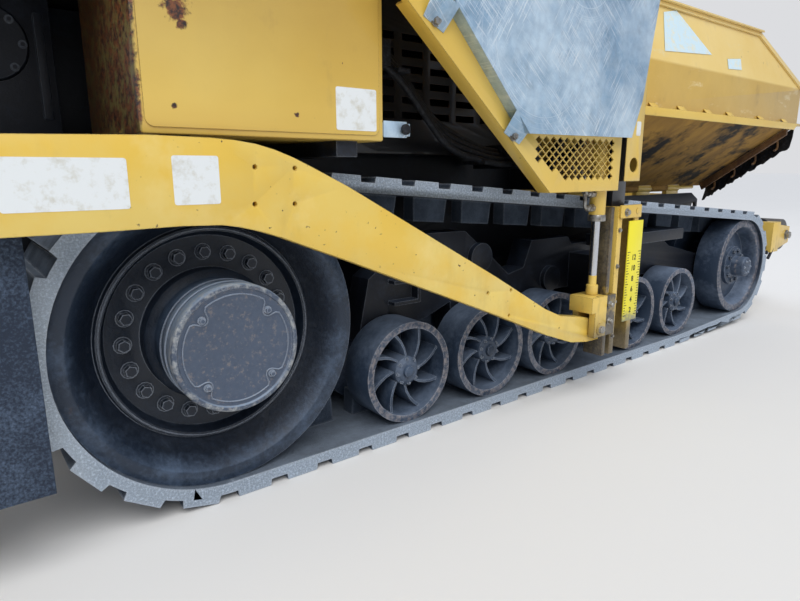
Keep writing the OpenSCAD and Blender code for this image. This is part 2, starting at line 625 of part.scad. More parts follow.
module shield_plate() {
    side_plate([-guard_y - shield_out, -guard_y - shield_out + 4], [
        shield_low, [1549, 1062], [1604, 1203], [1667, 1558], [1669, 1590], [600, 1590], [600, 1424], shield_top
    ]);
    side_plate([-guard_y - shield_out, -guard_y], [
        shield_low, shield_low + [5, 2], shield_top + [5, 2], shield_top
    ]);
    for (x = [700, 1300]) box([x, x + 40], [-guard_y - shield_out + 4, -guard_y], [1545, 1575]);
}
module shield_plates() color(zinc) at_axle() pair() shield_plate();

// Tow gear: posts, level scales, cylinders and slides.
// top of a post, its outer and inner faces, and its foot
post_top = 796;
post_y = [-1375, -1285];
post_z = 172;
module tow_posts() color(paint) at_axle() pair() {
    box([1556, 1580], post_y, [post_z, post_top]);
    difference() {
        box([1607, 1763], post_y, [post_z, post_top]);
        box([1640, 1730], [post_y[0] - 5, post_y[1] - 15], [post_z - 12, post_top + 1]);
    }
    box([1556, 1763], [post_y[1] - 10, post_y[1]], [post_z, post_top]);
}
module level_scales() color([0.95, 0.88, 0.2]) at_axle() pair() box([1687, 1793], [post_y[0] - sheet_t, post_y[0]], [302, 735]);
module tow_barrels() color(paint) at_axle() pair() difference() {
    union() {
        rod_z([ram_z, 1180], [ram_x, -ram_y], ram_r);
        box([ram_x - 19, ram_x + 19], [-ram_y - 15, -ram_y + 15], [1180, 1200]);
    }
    rod_z([ram_z - 1, 1150], [ram_x, -ram_y], ram_rod + fit_gap);
}
module tow_slide() {
    rod_z([440, 880], [ram_x, -ram_y], ram_rod);
    z = [pin_z - 34, pin_z + 71, pin_z + 136];
    box([pin_x - 62, pin_x + 38], [-arm_y - 35, post_y[1]], [z[1], z[2]]);
    for (y = [-arm_y - 35, -arm_y + 45]) box([pin_x - 37, pin_x + 38], [y, y + 30], [z[0], z[1]]);
    rod_y([-arm_y - 40, post_y[1]], [pin_x, pin_z], pin_r);
    box([pin_x + 38, 1604], [-arm_y - 35, post_y[0] - 5], [z[0], z[2]]);
    box([1585, 1602], [post_y[0] - 5, -1300], [z[0], z[2]]);
}
module tow_slide_right() color(paint) at_axle() tow_slide();
module tow_slide_left() color(paint) at_axle() mirror([0, 1, 0]) tow_slide();

// Tow arms: flat behind the drive wheel, then sloping down to the tow pin.
arm_top = [
    [-1500, 1010], [-470, 1012], [-202, 1019], [-60, 1017], [0, 1013], [50, 1006], [100, 993], [150, 975], [202, 952],
    [313, 900], [531, 785], [910, 584], [1191, 427], [1286, 386], [1437, 358]
];
arm_low = [
    [1547, 330], [1547, 246], [1463, 249], [1361, 265], [1200, 324], [917, 446], [531, 604], [325, 688], [193, 740],
    [110, 773], [53, 792], [0, 806], [-47, 814], [-140, 817], [-306, 814], [-1500, 812]
];
arm_holes = [[45, 951], [154, 948], [40, 861], [150, 858], [875, 530], [992, 526], [986, 434]];
hole_r = 6;
module tow_arm() difference() {
    union() {
        side_plate([-arm_y, arm_t - arm_y], concat(arm_top, arm_low));
        side_plate([arm_t - arm_y, arm_t - arm_y + 20], [[-1060, 585], [-1060, 1010], [-900, 1010], [-900, 585]]);
        side_plate([arm_t - arm_y, arm_t - arm_y + 60], [[-1760, 440], [-1500, 812], [-1500, 1000], [-1350, 1000], [-1250, 440]]);
    }
    rod_y([-arm_y - 1, arm_t - arm_y + 1], [pin_x, pin_z], pin_r + fit_gap);
    for (p = arm_holes) rod_y([-arm_y - 1, arm_t - arm_y + 1], p, hole_r);
    side_plate([arm_t - arm_y - 10, arm_t - arm_y + 21], [[-1010, 610], [-1010, 905], [-970, 905], [-940, 610]]);
}
module tow_arms() color(paint) at_axle() pair() tow_arm();

// Screed: housing with its plate, tubes' bores and deck on top.
module screed_frame() color(paint) at_axle() {
    x = [-screed_front - screed_l, -screed_front];
    difference() {
        box(x, [-screed_half, screed_half], [screed_z, screed_top]);
        box([x[0] + 20, x[1] - 20], [20 - screed_half, screed_half - 20], [screed_z + 20, screed_top - 10]);
        for (t = tube_x, y = [-screed_half - 1, screed_half - 30]) rod_y([y, y + 31], [-t, tube_z], tube_r + 1);
    }
    pair() for (e = [-1740, -1300]) box([e, e + 60], [-1320, -1260], [screed_top, 440]);
}
module extender() {
    x = [-screed_front - screed_l - extender_l - 15, -screed_front - screed_l - 15];
    box(x, [-screed_half, -20], [screed_z, screed_top - 20]);
    side_plate([-screed_half - 30, -screed_half - 10], [[x[0] - 20, 5], [x[0] - 20, 380], [-1120, 380], [-1120, 60], [-1170, 5]]);
    box(x, [-screed_half - 10, -screed_half], [screed_z, screed_top - 20]);
    for (t = tube_x) rod_y([-screed_half - 10, -150], [-t, tube_z], tube_r);
    box([x[0] - step_l, x[0]], [-screed_half, -30], [360, 390]);
}
module extender_right() color(paint) at_axle() extender();
module extender_left() color(paint) at_axle() mirror([0, 1, 0]) extender();

// Lift cylinders: barrel from the deck's corner, rod down to the slotted link.
// head and eye: x, height; and the middle of the cylinder from the middle of the machine
lift_head = [-930, 1750];
lift_eye = [-990, 885];
lift_y = deck_half + 50;
lift_l = norm(lift_head - lift_eye);
module along_lift() translate([lift_head[0], -lift_y, lift_head[1]])
    rotate([0, atan2(lift_eye[0] - lift_head[0], lift_eye[1] - lift_head[1]), 0]) children();
module lift_barrel() {
    along_lift() difference() {
        union() {
            translate([0, 0, 25]) cylinder(480, 30, 30);
            translate([0, 20, 0]) rotate([90, 0, 0]) cylinder(40, 30, 30);
        }
        translate([0, 0, 60]) cylinder(480, 15 + fit_gap, 15 + fit_gap);
        translate([0, 30, 0]) rotate([90, 0, 0]) cylinder(60, 14 + fit_gap, 14 + fit_gap);
    }
}
module lift_rod() {
    along_lift() translate([0, 0, 400]) cylinder(lift_l - 410, 15, 15);
    rod_y([-lift_y - 20, -lift_y + 20], lift_eye, 26);
    rod_y([min(-lift_y - 20, arm_t - arm_y), max(-lift_y, arm_t - arm_y) + 10], lift_eye, 12);
}
module lift_barrel_right() color(black) at_axle() lift_barrel();
module lift_barrel_left() color(black) at_axle() mirror([0, 1, 0]) lift_barrel();
module lift_rod_right() color(chrome) at_axle() lift_rod();
module lift_rod_left() color(chrome) at_axle() mirror([0, 1, 0]) lift_rod();

// Augers: a helical flight on a shaft between the gearbox and an end bearing.
module auger() {
    rod_y([-1262, -80], [-auger_x, auger_z], 35);
    translate([-auger_x, -110, auger_z]) rotate([90, 0, 0])
        linear_extrude(1120, twist = 360 * 1120 / auger_pitch, slices = 72, segments = 6)
            polygon([[0, -10], [auger_r, -24], [auger_r, 24], [0, 10]]);
}
module auger_right() color(grey) at_axle() auger();
module auger_left() color(grey) at_axle() mirror([0, 1, 0]) auger();
module auger_carrier() color(black) at_axle() difference() {
    union() {
        box([-auger_x - 60, -auger_x + 60], [-90, 90], [200, 460]);
        box([-auger_x - 50, -auger_x + 50], [-50, 50], [460, 957]);
        box([-auger_x + 50, -540], [-60, 60], [907, 957]);
        pair() side_plate([-1262, -1250], [[-920, 290], [-920, 380], [-640, 900], [-640, 790], [-820, 290]]);
    }
    pair() for (y = [[-1270, -1240], [-91, -80]]) rod_y(y, [-auger_x, auger_z], 35.3);
}
module side_flaps() color(black) at_axle() pair() box([-830, -450], [-1275, -1265], [210, 1000]);

// Operator's stations: consoles, seats, rails, canopy and lamps.
module consoles() color(paint) at_axle() {
    box([console_front - 200, console_front], [-900, 900], [deck_z, deck_z + 650]);
    pair() side_plate([-1000, -400], [
        [console_front - 280, deck_z + 650], [console_front - 280, deck_z + 690], [console_front - 70, deck_z + 795],
        [console_front, deck_z + 760], [console_front, deck_z + 650]
    ]);
}
module seats() color(black) at_axle() pair() {
    rod_z([deck_z, deck_z + 300], [-seat_x, -seat_y], 50);
    side_plate([-seat_y - 230, -seat_y + 230], [
        [-seat_x - 240, deck_z + 300], [-seat_x - 240, deck_z + 400], [-seat_x + 190, deck_z + 410],
        [-seat_x + 240, deck_z + 380], [-seat_x + 230, deck_z + 320], [-seat_x + 190, deck_z + 300]
    ]);
    side_plate([-seat_y - 230, -seat_y + 230], [
        [-seat_x - 240, deck_z + 400], [-seat_x - 290, deck_z + 860], [-seat_x - 270, deck_z + 920],
        [-seat_x - 210, deck_z + 920], [-seat_x - 110, deck_z + 400]
    ]);
}
module handrails() color(paint) at_axle() pair() {
    x = [20 - deck_rear, house_rear - 170];
    for (e = [x[0], (x[0] + x[1]) / 2, x[1]]) rod_z([deck_z, rail_z], [e, rail_in - deck_half], rail_r);
    for (z = [rail_z - 440, rail_z]) rod_x(x, [rail_in - deck_half, z], rail_r);
}
module canopy() color(paint) at_axle() {
    difference() {
        box([-roof_rear, roof_front], [-roof_half, roof_half], [roof_z, roof_z + roof_h]);
        box([6 - roof_rear, roof_front - 6], [6 - roof_half, roof_half - 6], [roof_z - 1, roof_z + roof_h - 6]);
    }
    pair() for (x = [180 - roof_rear, roof_front - 340])
        box([x - 30, x + 30], [100 - deck_half, 160 - deck_half], [deck_z, roof_z + roof_h - 6]);
}
// foot of the exhaust: x, distance from the middle
exhaust = [1300, 900];
module exhaust_stack() color(grey) at_axle() {
    rod_z([1612, 1700], exhaust, 45);
    rod_z([1700, 2200], exhaust, 90);
    rod_z([2200, 2750], exhaust, 45);
}
module work_lamps() color(grey) at_axle() pair() for (x = [roof_front - 40, 40 - roof_rear])
    box([x - 30, x + 30], [-1140, -980], [roof_z - 100, roof_z + roof_h - 6]);

chassis_frame();
conveyor_floor();
push_mount();
hopper_body();
conveyor_chains();
engine_block();
engine_housing();
engine_hood();
operator_deck();
lift_brackets();
side_boxes();
guard_frames();
shield_plates();
belt_right();
belt_left();
drive_wheels();
road_rollers();
idler_wheels();
track_frames();
tow_posts();
level_scales();
tow_barrels();
consoles();
seats();
handrails();
canopy();
exhaust_stack();
side_flaps();
auger_carrier();
work_lamps();
hopper_wing_right();
hopper_wing_left();
wing_barrel_right();
wing_barrel_left();
wing_rod_right();
wing_rod_left();
push_beam();
push_roller_right();
push_roller_left();
tow_slide_right();
tow_slide_left();
screed_frame();
tow_arms();
lift_barrel_right();
lift_barrel_left();
lift_rod_right();
lift_rod_left();
extender_right();
extender_left();
auger_right();
auger_left();
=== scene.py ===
import math
import bmesh
import bpy
from mathutils import Matrix, Vector


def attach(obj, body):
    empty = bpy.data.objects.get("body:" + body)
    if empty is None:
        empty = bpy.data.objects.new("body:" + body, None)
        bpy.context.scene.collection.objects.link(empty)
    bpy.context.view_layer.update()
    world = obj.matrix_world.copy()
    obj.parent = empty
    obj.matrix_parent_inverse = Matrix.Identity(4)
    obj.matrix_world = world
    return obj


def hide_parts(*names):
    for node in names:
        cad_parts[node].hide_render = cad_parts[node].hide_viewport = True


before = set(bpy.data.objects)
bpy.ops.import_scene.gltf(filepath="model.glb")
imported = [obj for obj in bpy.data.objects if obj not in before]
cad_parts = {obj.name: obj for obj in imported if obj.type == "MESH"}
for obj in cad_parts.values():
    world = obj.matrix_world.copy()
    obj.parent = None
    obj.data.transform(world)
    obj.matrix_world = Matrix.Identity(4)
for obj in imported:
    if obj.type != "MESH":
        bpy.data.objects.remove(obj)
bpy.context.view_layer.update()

# Camera: stands beside the right track, a little behind the drive wheel, and looks forward and down.
# The floor is plain and pale. A bright cloud overhead, a pale sky and two broad lamps light the machine.
heading, dip, cant = math.radians(37.753), math.radians(12.2755), math.radians(-0.191)
eye = Vector((-1.2586, -2.7497, 0.9381))
focal_pixels, photo_width, sensor_width = 591.64, 800, 36
ahead = Vector((math.sin(heading) * math.cos(dip), math.cos(heading) * math.cos(dip), -math.sin(dip)))
across = Vector((math.cos(heading), -math.sin(heading), 0))
upward = across.cross(ahead)
image_right = across * math.cos(cant) + upward * math.sin(cant)
image_up = upward * math.cos(cant) - across * math.sin(cant)


def put(name, data):
    """A new object, linked into the scene."""
    made = bpy.data.objects.new(name, data)
    bpy.context.scene.collection.objects.link(made)
    return made


camera = put("camera", bpy.data.cameras.new("camera"))
camera.data.lens = focal_pixels / photo_width * sensor_width
camera.data.clip_start = 0.02
camera.matrix_world = Matrix([(image_right[i], image_up[i], -ahead[i], eye[i]) for i in range(3)] + [(0, 0, 0, 1)])
bpy.context.scene.camera = camera
bpy.context.scene.view_settings.view_transform = "Standard"


class Wire:
    """A socket in a material, so that a sum of masks is written as a sum."""

    def __init__(self, coat, socket):
        self.coat, self.socket = coat, socket

    def __add__(self, other):
        return self.coat.sum("ADD", self, other)

    def __sub__(self, other):
        return self.coat.sum("SUBTRACT", self, other)

    def __mul__(self, other):
        return self.coat.sum("MULTIPLY", self, other)

    def __rsub__(self, other):
        return self.coat.sum("SUBTRACT", other, self)

    def __abs__(self):
        return self.coat.sum("ABSOLUTE", self, 0.0)

    def __lt__(self, other):
        return self.coat.sum("LESS_THAN", self, other)

    def __gt__(self, other):
        return self.coat.sum("GREATER_THAN", self, other)

    __radd__ = __add__
    __rmul__ = __mul__


class Coat:
    """A finish: a Principled shader with the nodes that vary it."""

    def __init__(self, name, **constants):
        self.material = bpy.data.materials.new(name)
        self.material.use_nodes = True
        self.tree = self.material.node_tree
        self.shader = self.tree.nodes["Principled BSDF"]
        for key, value in constants.items():
            self.shader.inputs[key.replace("_", " ")].default_value = value
        self.object = self.node("ShaderNodeTexCoord")["Object"]

    def node(self, kind, settings=None, **inputs):
        """Adds a node; an input is named, with _ for a space, or is _ and its number."""
        made = self.tree.nodes.new(kind)
        for key, value in (settings or {}).items():
            setattr(made, key, value)
        for key, value in inputs.items():
            socket = made.inputs[int(key[1:])] if key[0] == "_" else made.inputs[key.replace("_", " ")]
            if isinstance(value, Wire):
                self.tree.links.new(value.socket, socket)
            else:
                socket.default_value = value
        return {o.name: Wire(self, o) for o in made.outputs if o.enabled}

    def sum(self, operation, a, b):
        return self.node("ShaderNodeMath", {"operation": operation}, _0=a, _1=b)["Value"]

    def most(self, first, *others):
        """The strongest of several masks."""
        for other in others:
            first = self.sum("MAXIMUM", first, other)
        return first

    def stretched(self, x, y, z):
        return self.node("ShaderNodeMapping", Vector=self.object, Scale=(x, y, z))["Vector"]

    def noise(self, scale, detail=4.0, rough=0.55, where=None):
        return self.node("ShaderNodeTexNoise", Vector=where or self.object, Scale=scale, Detail=detail,
                         Roughness=rough)["Fac"]

    def step(self, value, low, high):
        return self.node("ShaderNodeMapRange", {"clamp": True}, Value=value, From_Min=low, From_Max=high)["Result"]

    def patches(self, scale, detail, rough, low, high, where=None):
        """Noise cut between two levels, so that it leaves patches."""
        return self.step(self.noise(scale, detail, rough, where), low, high)

    def blend(self, share, a, b):
        a, b = ((*c, 1) if isinstance(c, tuple) else c for c in (a, b))
        return self.node("ShaderNodeMix", {"data_type": "RGBA"}, _0=share, _6=a, _7=b)["Result"]

    def vector(self, operation, a, b, outcome):
        return self.node("ShaderNodeVectorMath", {"operation": operation}, _0=a, _1=b)[outcome]

    def edges(self, radius):
        rounded = self.node("ShaderNodeBevel", {"samples": 4}, Radius=radius)["Normal"]
        return 1 - self.vector("DOT_PRODUCT", rounded, self.node("ShaderNodeNewGeometry")["Normal"], "Value")

    def along(self, axis):
        """The distance from the frame's origin along X, Y or Z."""
        return self.node("ShaderNodeSeparateXYZ", Vector=self.object)[axis]

    def upward(self):
        """How far a face looks up, from 0 for a wall to 1 for a floor, where dust settles."""
        facing = self.node("ShaderNodeNewGeometry")["Normal"]
        return self.step(self.node("ShaderNodeSeparateXYZ", Vector=facing)["Z"], 0.25, 0.95)

    def feed(self, socket, wire):
        self.tree.links.new(wire.socket, self.shader.inputs[socket])

    def relief(self, wire, depth, strength=1.0):
        self.feed("Normal", self.node("ShaderNodeBump", Height=wire, Distance=depth, Strength=strength)["Normal"])


def tone(red, green, blue):
    """A screen colour, 0 to 255, as the shader's linear colour."""
    return tuple(((c / 255 + 0.055) / 1.055) ** 2.4 if c > 10 else c / 255 / 12.92 for c in (red, green, blue))


floor_coat = Coat("studio_floor", Roughness=0.9)
floor_coat.feed("Base Color", floor_coat.blend(floor_coat.noise(0.7), tone(233, 231, 227), tone(237, 235, 231)))
bpy.ops.mesh.primitive_plane_add(size=400, location=(0, 0, -0.001))
floor = bpy.context.object
floor.name = "studio_floor"
floor.data.materials.append(floor_coat.material)

sky = bpy.data.worlds.new("sky")
bpy.context.scene.world = sky
sky.use_nodes = True
rays = sky.node_tree.nodes.new("ShaderNodeLightPath")
pale = sky.node_tree.nodes.new("ShaderNodeMix")
pale.data_type = "RGBA"
pale.inputs[6].default_value = (0.36, 0.40, 0.48, 1)
pale.inputs[7].default_value = (0.715, 0.722, 0.745, 1)
sky.node_tree.links.new(rays.outputs["Is Camera Ray"], pale.inputs[0])
sky.node_tree.links.new(pale.outputs[2], sky.node_tree.nodes["Background"].inputs["Color"])
for name, kind, spot, aim, size, power in (
    ("high_cloud", "SUN", (-2.5, -6.0, 9.0), (0, 0, 0), math.radians(55), 1.9),
    ("lamp_over_right", "AREA", (-3.0, -7.0, 7.5), (0.2, 0, 0.8), 8.0, 170),
    ("lamp_over_left", "AREA", (3.5, 8.0, 8.0), (0, 0, 1.0), 10.0, 250),
):
    lamp = put(name, bpy.data.lights.new(name, kind))
    setattr(lamp.data, "angle" if kind == "SUN" else "size", size)
    lamp.data.energy = power
    lamp.location = spot
    lamp.rotation_euler = (Vector(aim) - Vector(spot)).to_track_quat("-Z", "Y").to_euler()


# Rubber belts: black moulded rubber on a steel-cord carcass, one loop a side, lugs outside and guide
# blocks inside. The edge is ground pale by gravel, painted light makes it paler still behind the drive
# wheel, and the lugs' tops are dusty.
def smoothing_tree(angle):
    """Shades faces smooth, apart from edges sharper than an angle."""
    tree = bpy.data.node_groups.new("smooth_by_angle", "GeometryNodeTree")
    tree.interface.new_socket("Geometry", in_out="INPUT", socket_type="NodeSocketGeometry")
    tree.interface.new_socket("Geometry", in_out="OUTPUT", socket_type="NodeSocketGeometry")
    add, link = tree.nodes.new, tree.links.new
    start, end = add("NodeGroupInput"), add("NodeGroupOutput")
    faces, edges = add("GeometryNodeSetShadeSmooth"), add("GeometryNodeSetShadeSmooth")
    edges.domain = "EDGE"
    turn = add("GeometryNodeInputMeshEdgeAngle")
    sharp = add("FunctionNodeCompare")
    sharp.operation = "GREATER_THAN"
    sharp.inputs[1].default_value = angle
    link(turn.outputs["Unsigned Angle"], sharp.inputs[0])
    link(start.outputs[0], faces.inputs["Geometry"])
    link(faces.outputs[0], edges.inputs["Geometry"])
    link(sharp.outputs[0], edges.inputs["Selection"])
    edges.inputs["Shade Smooth"].default_value = False
    link(edges.outputs[0], end.inputs[0])
    return tree


smoothing = smoothing_tree(math.radians(28))


def dress(coat, *nodes, width=0.002):
    """Welds CAD nodes' loose triangles, rounds their edges, and gives them a finish in place of the plain one."""
    for node in nodes:
        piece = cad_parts[node]
        piece.modifiers.new("weld", "WELD").merge_threshold = 0.00005
        flat = piece.modifiers.new("flat", "DECIMATE")
        flat.decimate_type = "DISSOLVE"
        flat.angle_limit = math.radians(0.5)
        edge = piece.modifiers.new("edge", "BEVEL")
        edge.width = width
        edge.segments = 2
        edge.limit_method = "ANGLE"
        edge.angle_limit = math.radians(32)
        piece.modifiers.new("smooth", "NODES").node_group = smoothing
        piece.data.materials.clear()
        piece.data.materials.append(coat.material)


rubber = Coat("belt_rubber", Specular_IOR_Level=0.3)
mottle = rubber.noise(9, 6, 0.65)
speck = rubber.patches(150, 4, 0.8, 0.47, 0.60)
worn = rubber.step(rubber.edges(0.014) * 3.2 + rubber.noise(14, 5) * 0.35, 0.28, 0.72)
dusty = rubber.step(mottle, 0.42, 0.72)
sideways = abs(rubber.along("Y"))
guides = abs(sideways - 0.9715) < 0.033
outer_edge = sideways > 1.1985
painted_light_behind_wheel = rubber.step(rubber.along("X"), -1.02, -1.14)
base = rubber.blend(dusty, tone(40, 50, 64), tone(86, 99, 116))
base = rubber.blend(guides * 0.6, base, rubber.blend(mottle, tone(40, 48, 60), tone(92, 104, 120)))
base = rubber.blend(outer_edge * (0.52 + speck * 0.48), base, tone(190, 203, 217))
base = rubber.blend(rubber.upward() * (0.25 + mottle * 0.5), base, tone(150, 162, 176))
# Painted light: the outer edge behind the drive wheel is made paler still, for light that falls there.
base = rubber.blend(painted_light_behind_wheel * outer_edge * (0.35 + speck * 0.4), base, tone(226, 236, 244))
base = rubber.blend(worn * (speck * 0.5 + 0.4) * (1 - guides * 0.7), base, tone(190, 198, 208))
rubber.feed("Base Color", base)
rubber.feed("Roughness", 0.90 - worn * 0.10 - dusty * 0.05)
rubber.relief(speck * 0.6 + rubber.noise(70, 5) + mottle * 0.5, 0.0022, 0.8)
dress(rubber, "belt_right", "belt_left", width=0.004)


# Running gear: cast and welded steel wheels, painted black long ago. Rims are rubbed bright-grey at their
# edges, and dry dust lies in the dishes.
axle_back, wheel_z = 0.675, 0.482


def side_distance(coat, x, z):
    """How far, seen from the side, a point is from one that lies x ahead of the drive axle and z up."""
    flat = coat.vector("MULTIPLY", coat.object, (1, 0, 1), "Vector")
    return coat.vector("DISTANCE", flat, (x - axle_back, 0, z), "Value")


def iron_coat(name, dark, dust_tone, dust, shine, bare=0.25, grain=1.0, over=None):
    """Black or brown iron: dust in the hollows, a little rust, and edges rubbed bare."""
    coat = Coat(name, Specular_IOR_Level=0.45)
    broad = coat.noise(5.5, 5, 0.6)
    fine = coat.noise(55, 6, 0.7)
    edge = coat.step(coat.edges(0.006) * 2.6 + coat.noise(30, 4) * 0.3, 0.28, 0.62)
    settled_dust = broad * 0.75 + fine * 0.35 + coat.upward() * 0.16
    dirt = coat.step(settled_dust, 0.62 - dust * 0.3, 0.92 - dust * 0.25)
    ground = coat.blend(dirt, dark, dust_tone)
    ground = coat.blend(coat.patches(19, 5, 0.7, 0.67, 0.76) * 0.4, ground, tone(92, 64, 48))
    if over:
        ground = over(coat, ground, fine)
    coat.feed("Base Color", coat.blend(edge * (fine * 0.6 + bare), ground, tone(158, 166, 178)))
    coat.feed("Roughness", shine + dirt * 0.25 + fine * 0.08)
    coat.relief(fine * grain + coat.noise(160, 3) * 0.4 * grain, 0.0012, 0.7)
    return coat


def painted_shade_dish_and_dusty_cap(coat, ground, fine):
    """The dish behind the rim and its inner cone are darkened as painted shade; the hub cap that stands out of it is
    dry and dusty, and its upward faces are made lighter, partly as dust and partly as painted highlight.
    """
    out = abs(coat.along("Y"))
    radius = side_distance(coat, 0, wheel_z)
    deep = coat.step(out, 1.1775, 1.130)
    dry = coat.step(out, 1.190, 1.230)
    cover = coat.step(out, 1.2915, 1.2925)
    pits = coat.patches(64, 5, 0.8, 0.55, 0.63)
    lip = coat.step(radius + fine * 0.010, 0.164, 0.169) * coat.step(out, 1.262, 1.272)
    cone = coat.step(radius, 0.255, 0.285) * coat.step(radius, 0.385, 0.350)
    ground = coat.blend(dry * (0.30 + fine * 0.70), ground, tone(132, 144, 160))
    ground = coat.blend(dry * pits * 0.6, ground, tone(158, 146, 136))
    ground = coat.blend(cover * 0.75, ground, coat.blend(pits, tone(50, 62, 82), tone(96, 94, 100)))
    # Dust and painted highlight: the cap's upward faces are made lighter.
    ground = coat.blend(dry * coat.upward() * 0.7, ground, tone(150, 168, 188))
    ground = coat.blend(lip * coat.step(fine, 0.44, 0.62) * 0.8, ground, tone(166, 168, 166))
    # Painted shade: the dish's inner cone is darkened in patches.
    ground = coat.blend(cone * coat.step(fine, 0.66, 0.44) * 0.75, ground, tone(18, 30, 48))
    # Painted shade: the dish behind the rim is made near-black.
    return coat.blend(deep * 0.90, ground, coat.blend(fine, tone(6, 11, 20), tone(24, 34, 48)))


def rusty_rims(coat, ground, fine):
    """The rims of the rollers and idlers are rubbed through to brown steel."""
    out = abs(coat.along("Y"))
    rim = coat.step(out, 1.1735, 1.1785) * coat.step(out, 1.190, 1.184)
    return coat.blend(rim * coat.step(fine, 0.44, 0.62) * 0.6, ground, tone(156, 144, 138))


wheel_iron = iron_coat("drive_wheel_iron", tone(34, 46, 62), tone(90, 108, 132), 0.36, 0.36, 0.50, 2.0, painted_shade_dish_and_dusty_cap)
dress(wheel_iron, "drive_wheels", width=0.003)
cast = iron_coat("cast_iron_dusty", tone(48, 61, 79), tone(108, 122, 142), 0.38, 0.38, 0.50, 1.4, rusty_rims)
dress(cast, "road_rollers", "idler_wheels", width=0.003)
undercarriage = iron_coat("black_paint_dusty", tone(13, 17, 26), tone(46, 56, 72), 0.16, 0.42, 0.12)
dress(undercarriage, "track_frames", "chassis_frame", "conveyor_floor", "auger_carrier", "engine_block")
steel = iron_coat("worn_steel", tone(82, 80, 78), tone(112, 100, 88), 0.30, 0.40, 0.35)
dress(steel, "conveyor_chains", "auger_right", "auger_left", "exhaust_stack", width=0.0015)
dress(steel, "push_roller_right", "push_roller_left", width=0.003)


# Painted plate: yellow gloss paint on welded plate. It is chipped to dark primer along edges, streaked
# where rain runs down, and dusty near the ground.
def paint_coat(name, colour, faded, grime, chips=1.0, shine=0.34, over=None):
    """Paint that fades in broad patches; over() adds what is special to one piece."""
    coat = Coat(name, Specular_IOR_Level=0.5)
    cloudy = coat.noise(7, 6, 0.65)
    streak = coat.noise(6, 5, 0.6, coat.stretched(3.2, 3.2, 0.35))
    fine = coat.noise(85, 5, 0.7)
    edge = coat.step(coat.edges(0.0045) * 3 + coat.noise(24, 5, 0.7) * 0.55, 0.62, 0.70)
    low = coat.step(coat.along("Z"), 0.95, 0.10)
    dirt = coat.step(streak * 0.45 + cloudy * 0.6 + low * 0.10, 0.60, 0.86)
    body = coat.blend(coat.patches(1.7, 3, 0.5, 0.35, 0.7), colour, faded)
    body = coat.blend(dirt * grime, body, tone(126, 104, 66))
    body = coat.blend(coat.step(fine + cloudy * 0.3, 0.80, 0.95) * 0.25, body, tone(232, 206, 140))
    if over:
        body = over(coat, body, cloudy, fine)
    chipped = coat.most(edge, coat.patches(46, 2, 0.5, 0.755, 0.775)) * chips
    primer = coat.blend(coat.step(fine, 0.45, 0.6), tone(58, 44, 34), tone(104, 66, 40))
    coat.feed("Base Color", coat.blend(chipped, body, primer))
    coat.feed("Roughness", shine + dirt * 0.3 + chipped * 0.25 + fine * 0.06)
    coat.feed("Coat Weight", 0.35 - chipped * 0.35)
    coat.relief(coat.noise(320, 2) * 0.25 + cloudy * 0.35 - chipped * 1.2, 0.0007, 0.8)
    return coat


def black_parts_and_painted_shade(coat, body, cloudy, fine):
    """The housing is near-black behind the guard frames and inside its columns, partly for the black parts there and
    partly as painted shade, and yellow elsewhere.
    """
    out = abs(coat.along("Y"))
    column = (out > 1.25) * (out < 1.398) * (coat.along("Z") < 1.585)
    rear, foot = column * (coat.along("X") < 0.9165), column * (coat.along("Z") < 0.934)
    # Partly black parts and partly painted shade: the bay behind the guards and the columns' insides turn near-black.
    within = (out < 0.79) * (coat.along("Z") < 1.599) + rear + foot
    return coat.blend(coat.sum("MINIMUM", within, 1.0), body, coat.blend(cloudy, tone(11, 13, 19), tone(32, 36, 44)))


def below_lip(coat):
    """The part of a wing under its lip bar, where the sheet folds back under the hopper."""
    return coat.step(coat.along("Z"), 1.2015, 1.1995)


def asphalt_stained_and_painted_light(coat, body, cloudy, fine):
    """Below the wings' lip mix and diesel have turned the paint brown and black; the panels above are scraped. The
    leaning upper panel is lightened as painted highlight, and the band under its fold is darkened as painted shade.
    """
    upper_panel = coat.step(coat.along("Z"), 1.416, 1.428)
    soaked = coat.step(coat.noise(2.1, 5, 0.7, coat.stretched(1.0, 1.0, 1.6)) + cloudy * 0.25, 0.60, 0.70)
    runs = coat.patches(5, 5, 0.6, 0.35, 0.75, coat.stretched(2.5, 1.2, 0.5))
    brown = coat.blend(runs, tone(176, 134, 58), tone(118, 88, 44))
    scraped = coat.patches(4.2, 6, 0.75, 0.60, 0.66, coat.stretched(0.7, 1, 2.2)) * coat.step(fine, 0.35, 0.6)
    # Painted shade darkens the band below the fold; painted highlight lightens the leaning panel above it.
    lower = coat.blend(0.30 + cloudy * 0.35, body, tone(164, 130, 66))
    upper = coat.blend(0.15 + cloudy * 0.4, body, tone(244, 222, 164))
    body = coat.blend(scraped * 0.75, coat.blend(upper_panel, lower, upper), tone(226, 208, 158))
    return coat.blend(below_lip(coat), body, coat.blend(soaked, brown, tone(24, 22, 20)))


def blotched(coat, body, cloudy, fine):
    """The arms' paint is deep yellow in patches and washed out between them, with scattered scuffs."""
    body = coat.blend(coat.patches(4.5, 4, 0.6, 0.42, 0.60) * 0.7, body, tone(226, 184, 62))
    body = coat.blend(coat.patches(3.1, 5, 0.7, 0.55, 0.70) * 0.35, body, tone(238, 216, 146))
    scuffs = coat.patches(60, 3, 0.6, 0.68, 0.72) * coat.patches(5, 3, 0.55, 0.5, 0.6)
    return coat.blend(scuffs * 0.8, body, tone(70, 54, 40))


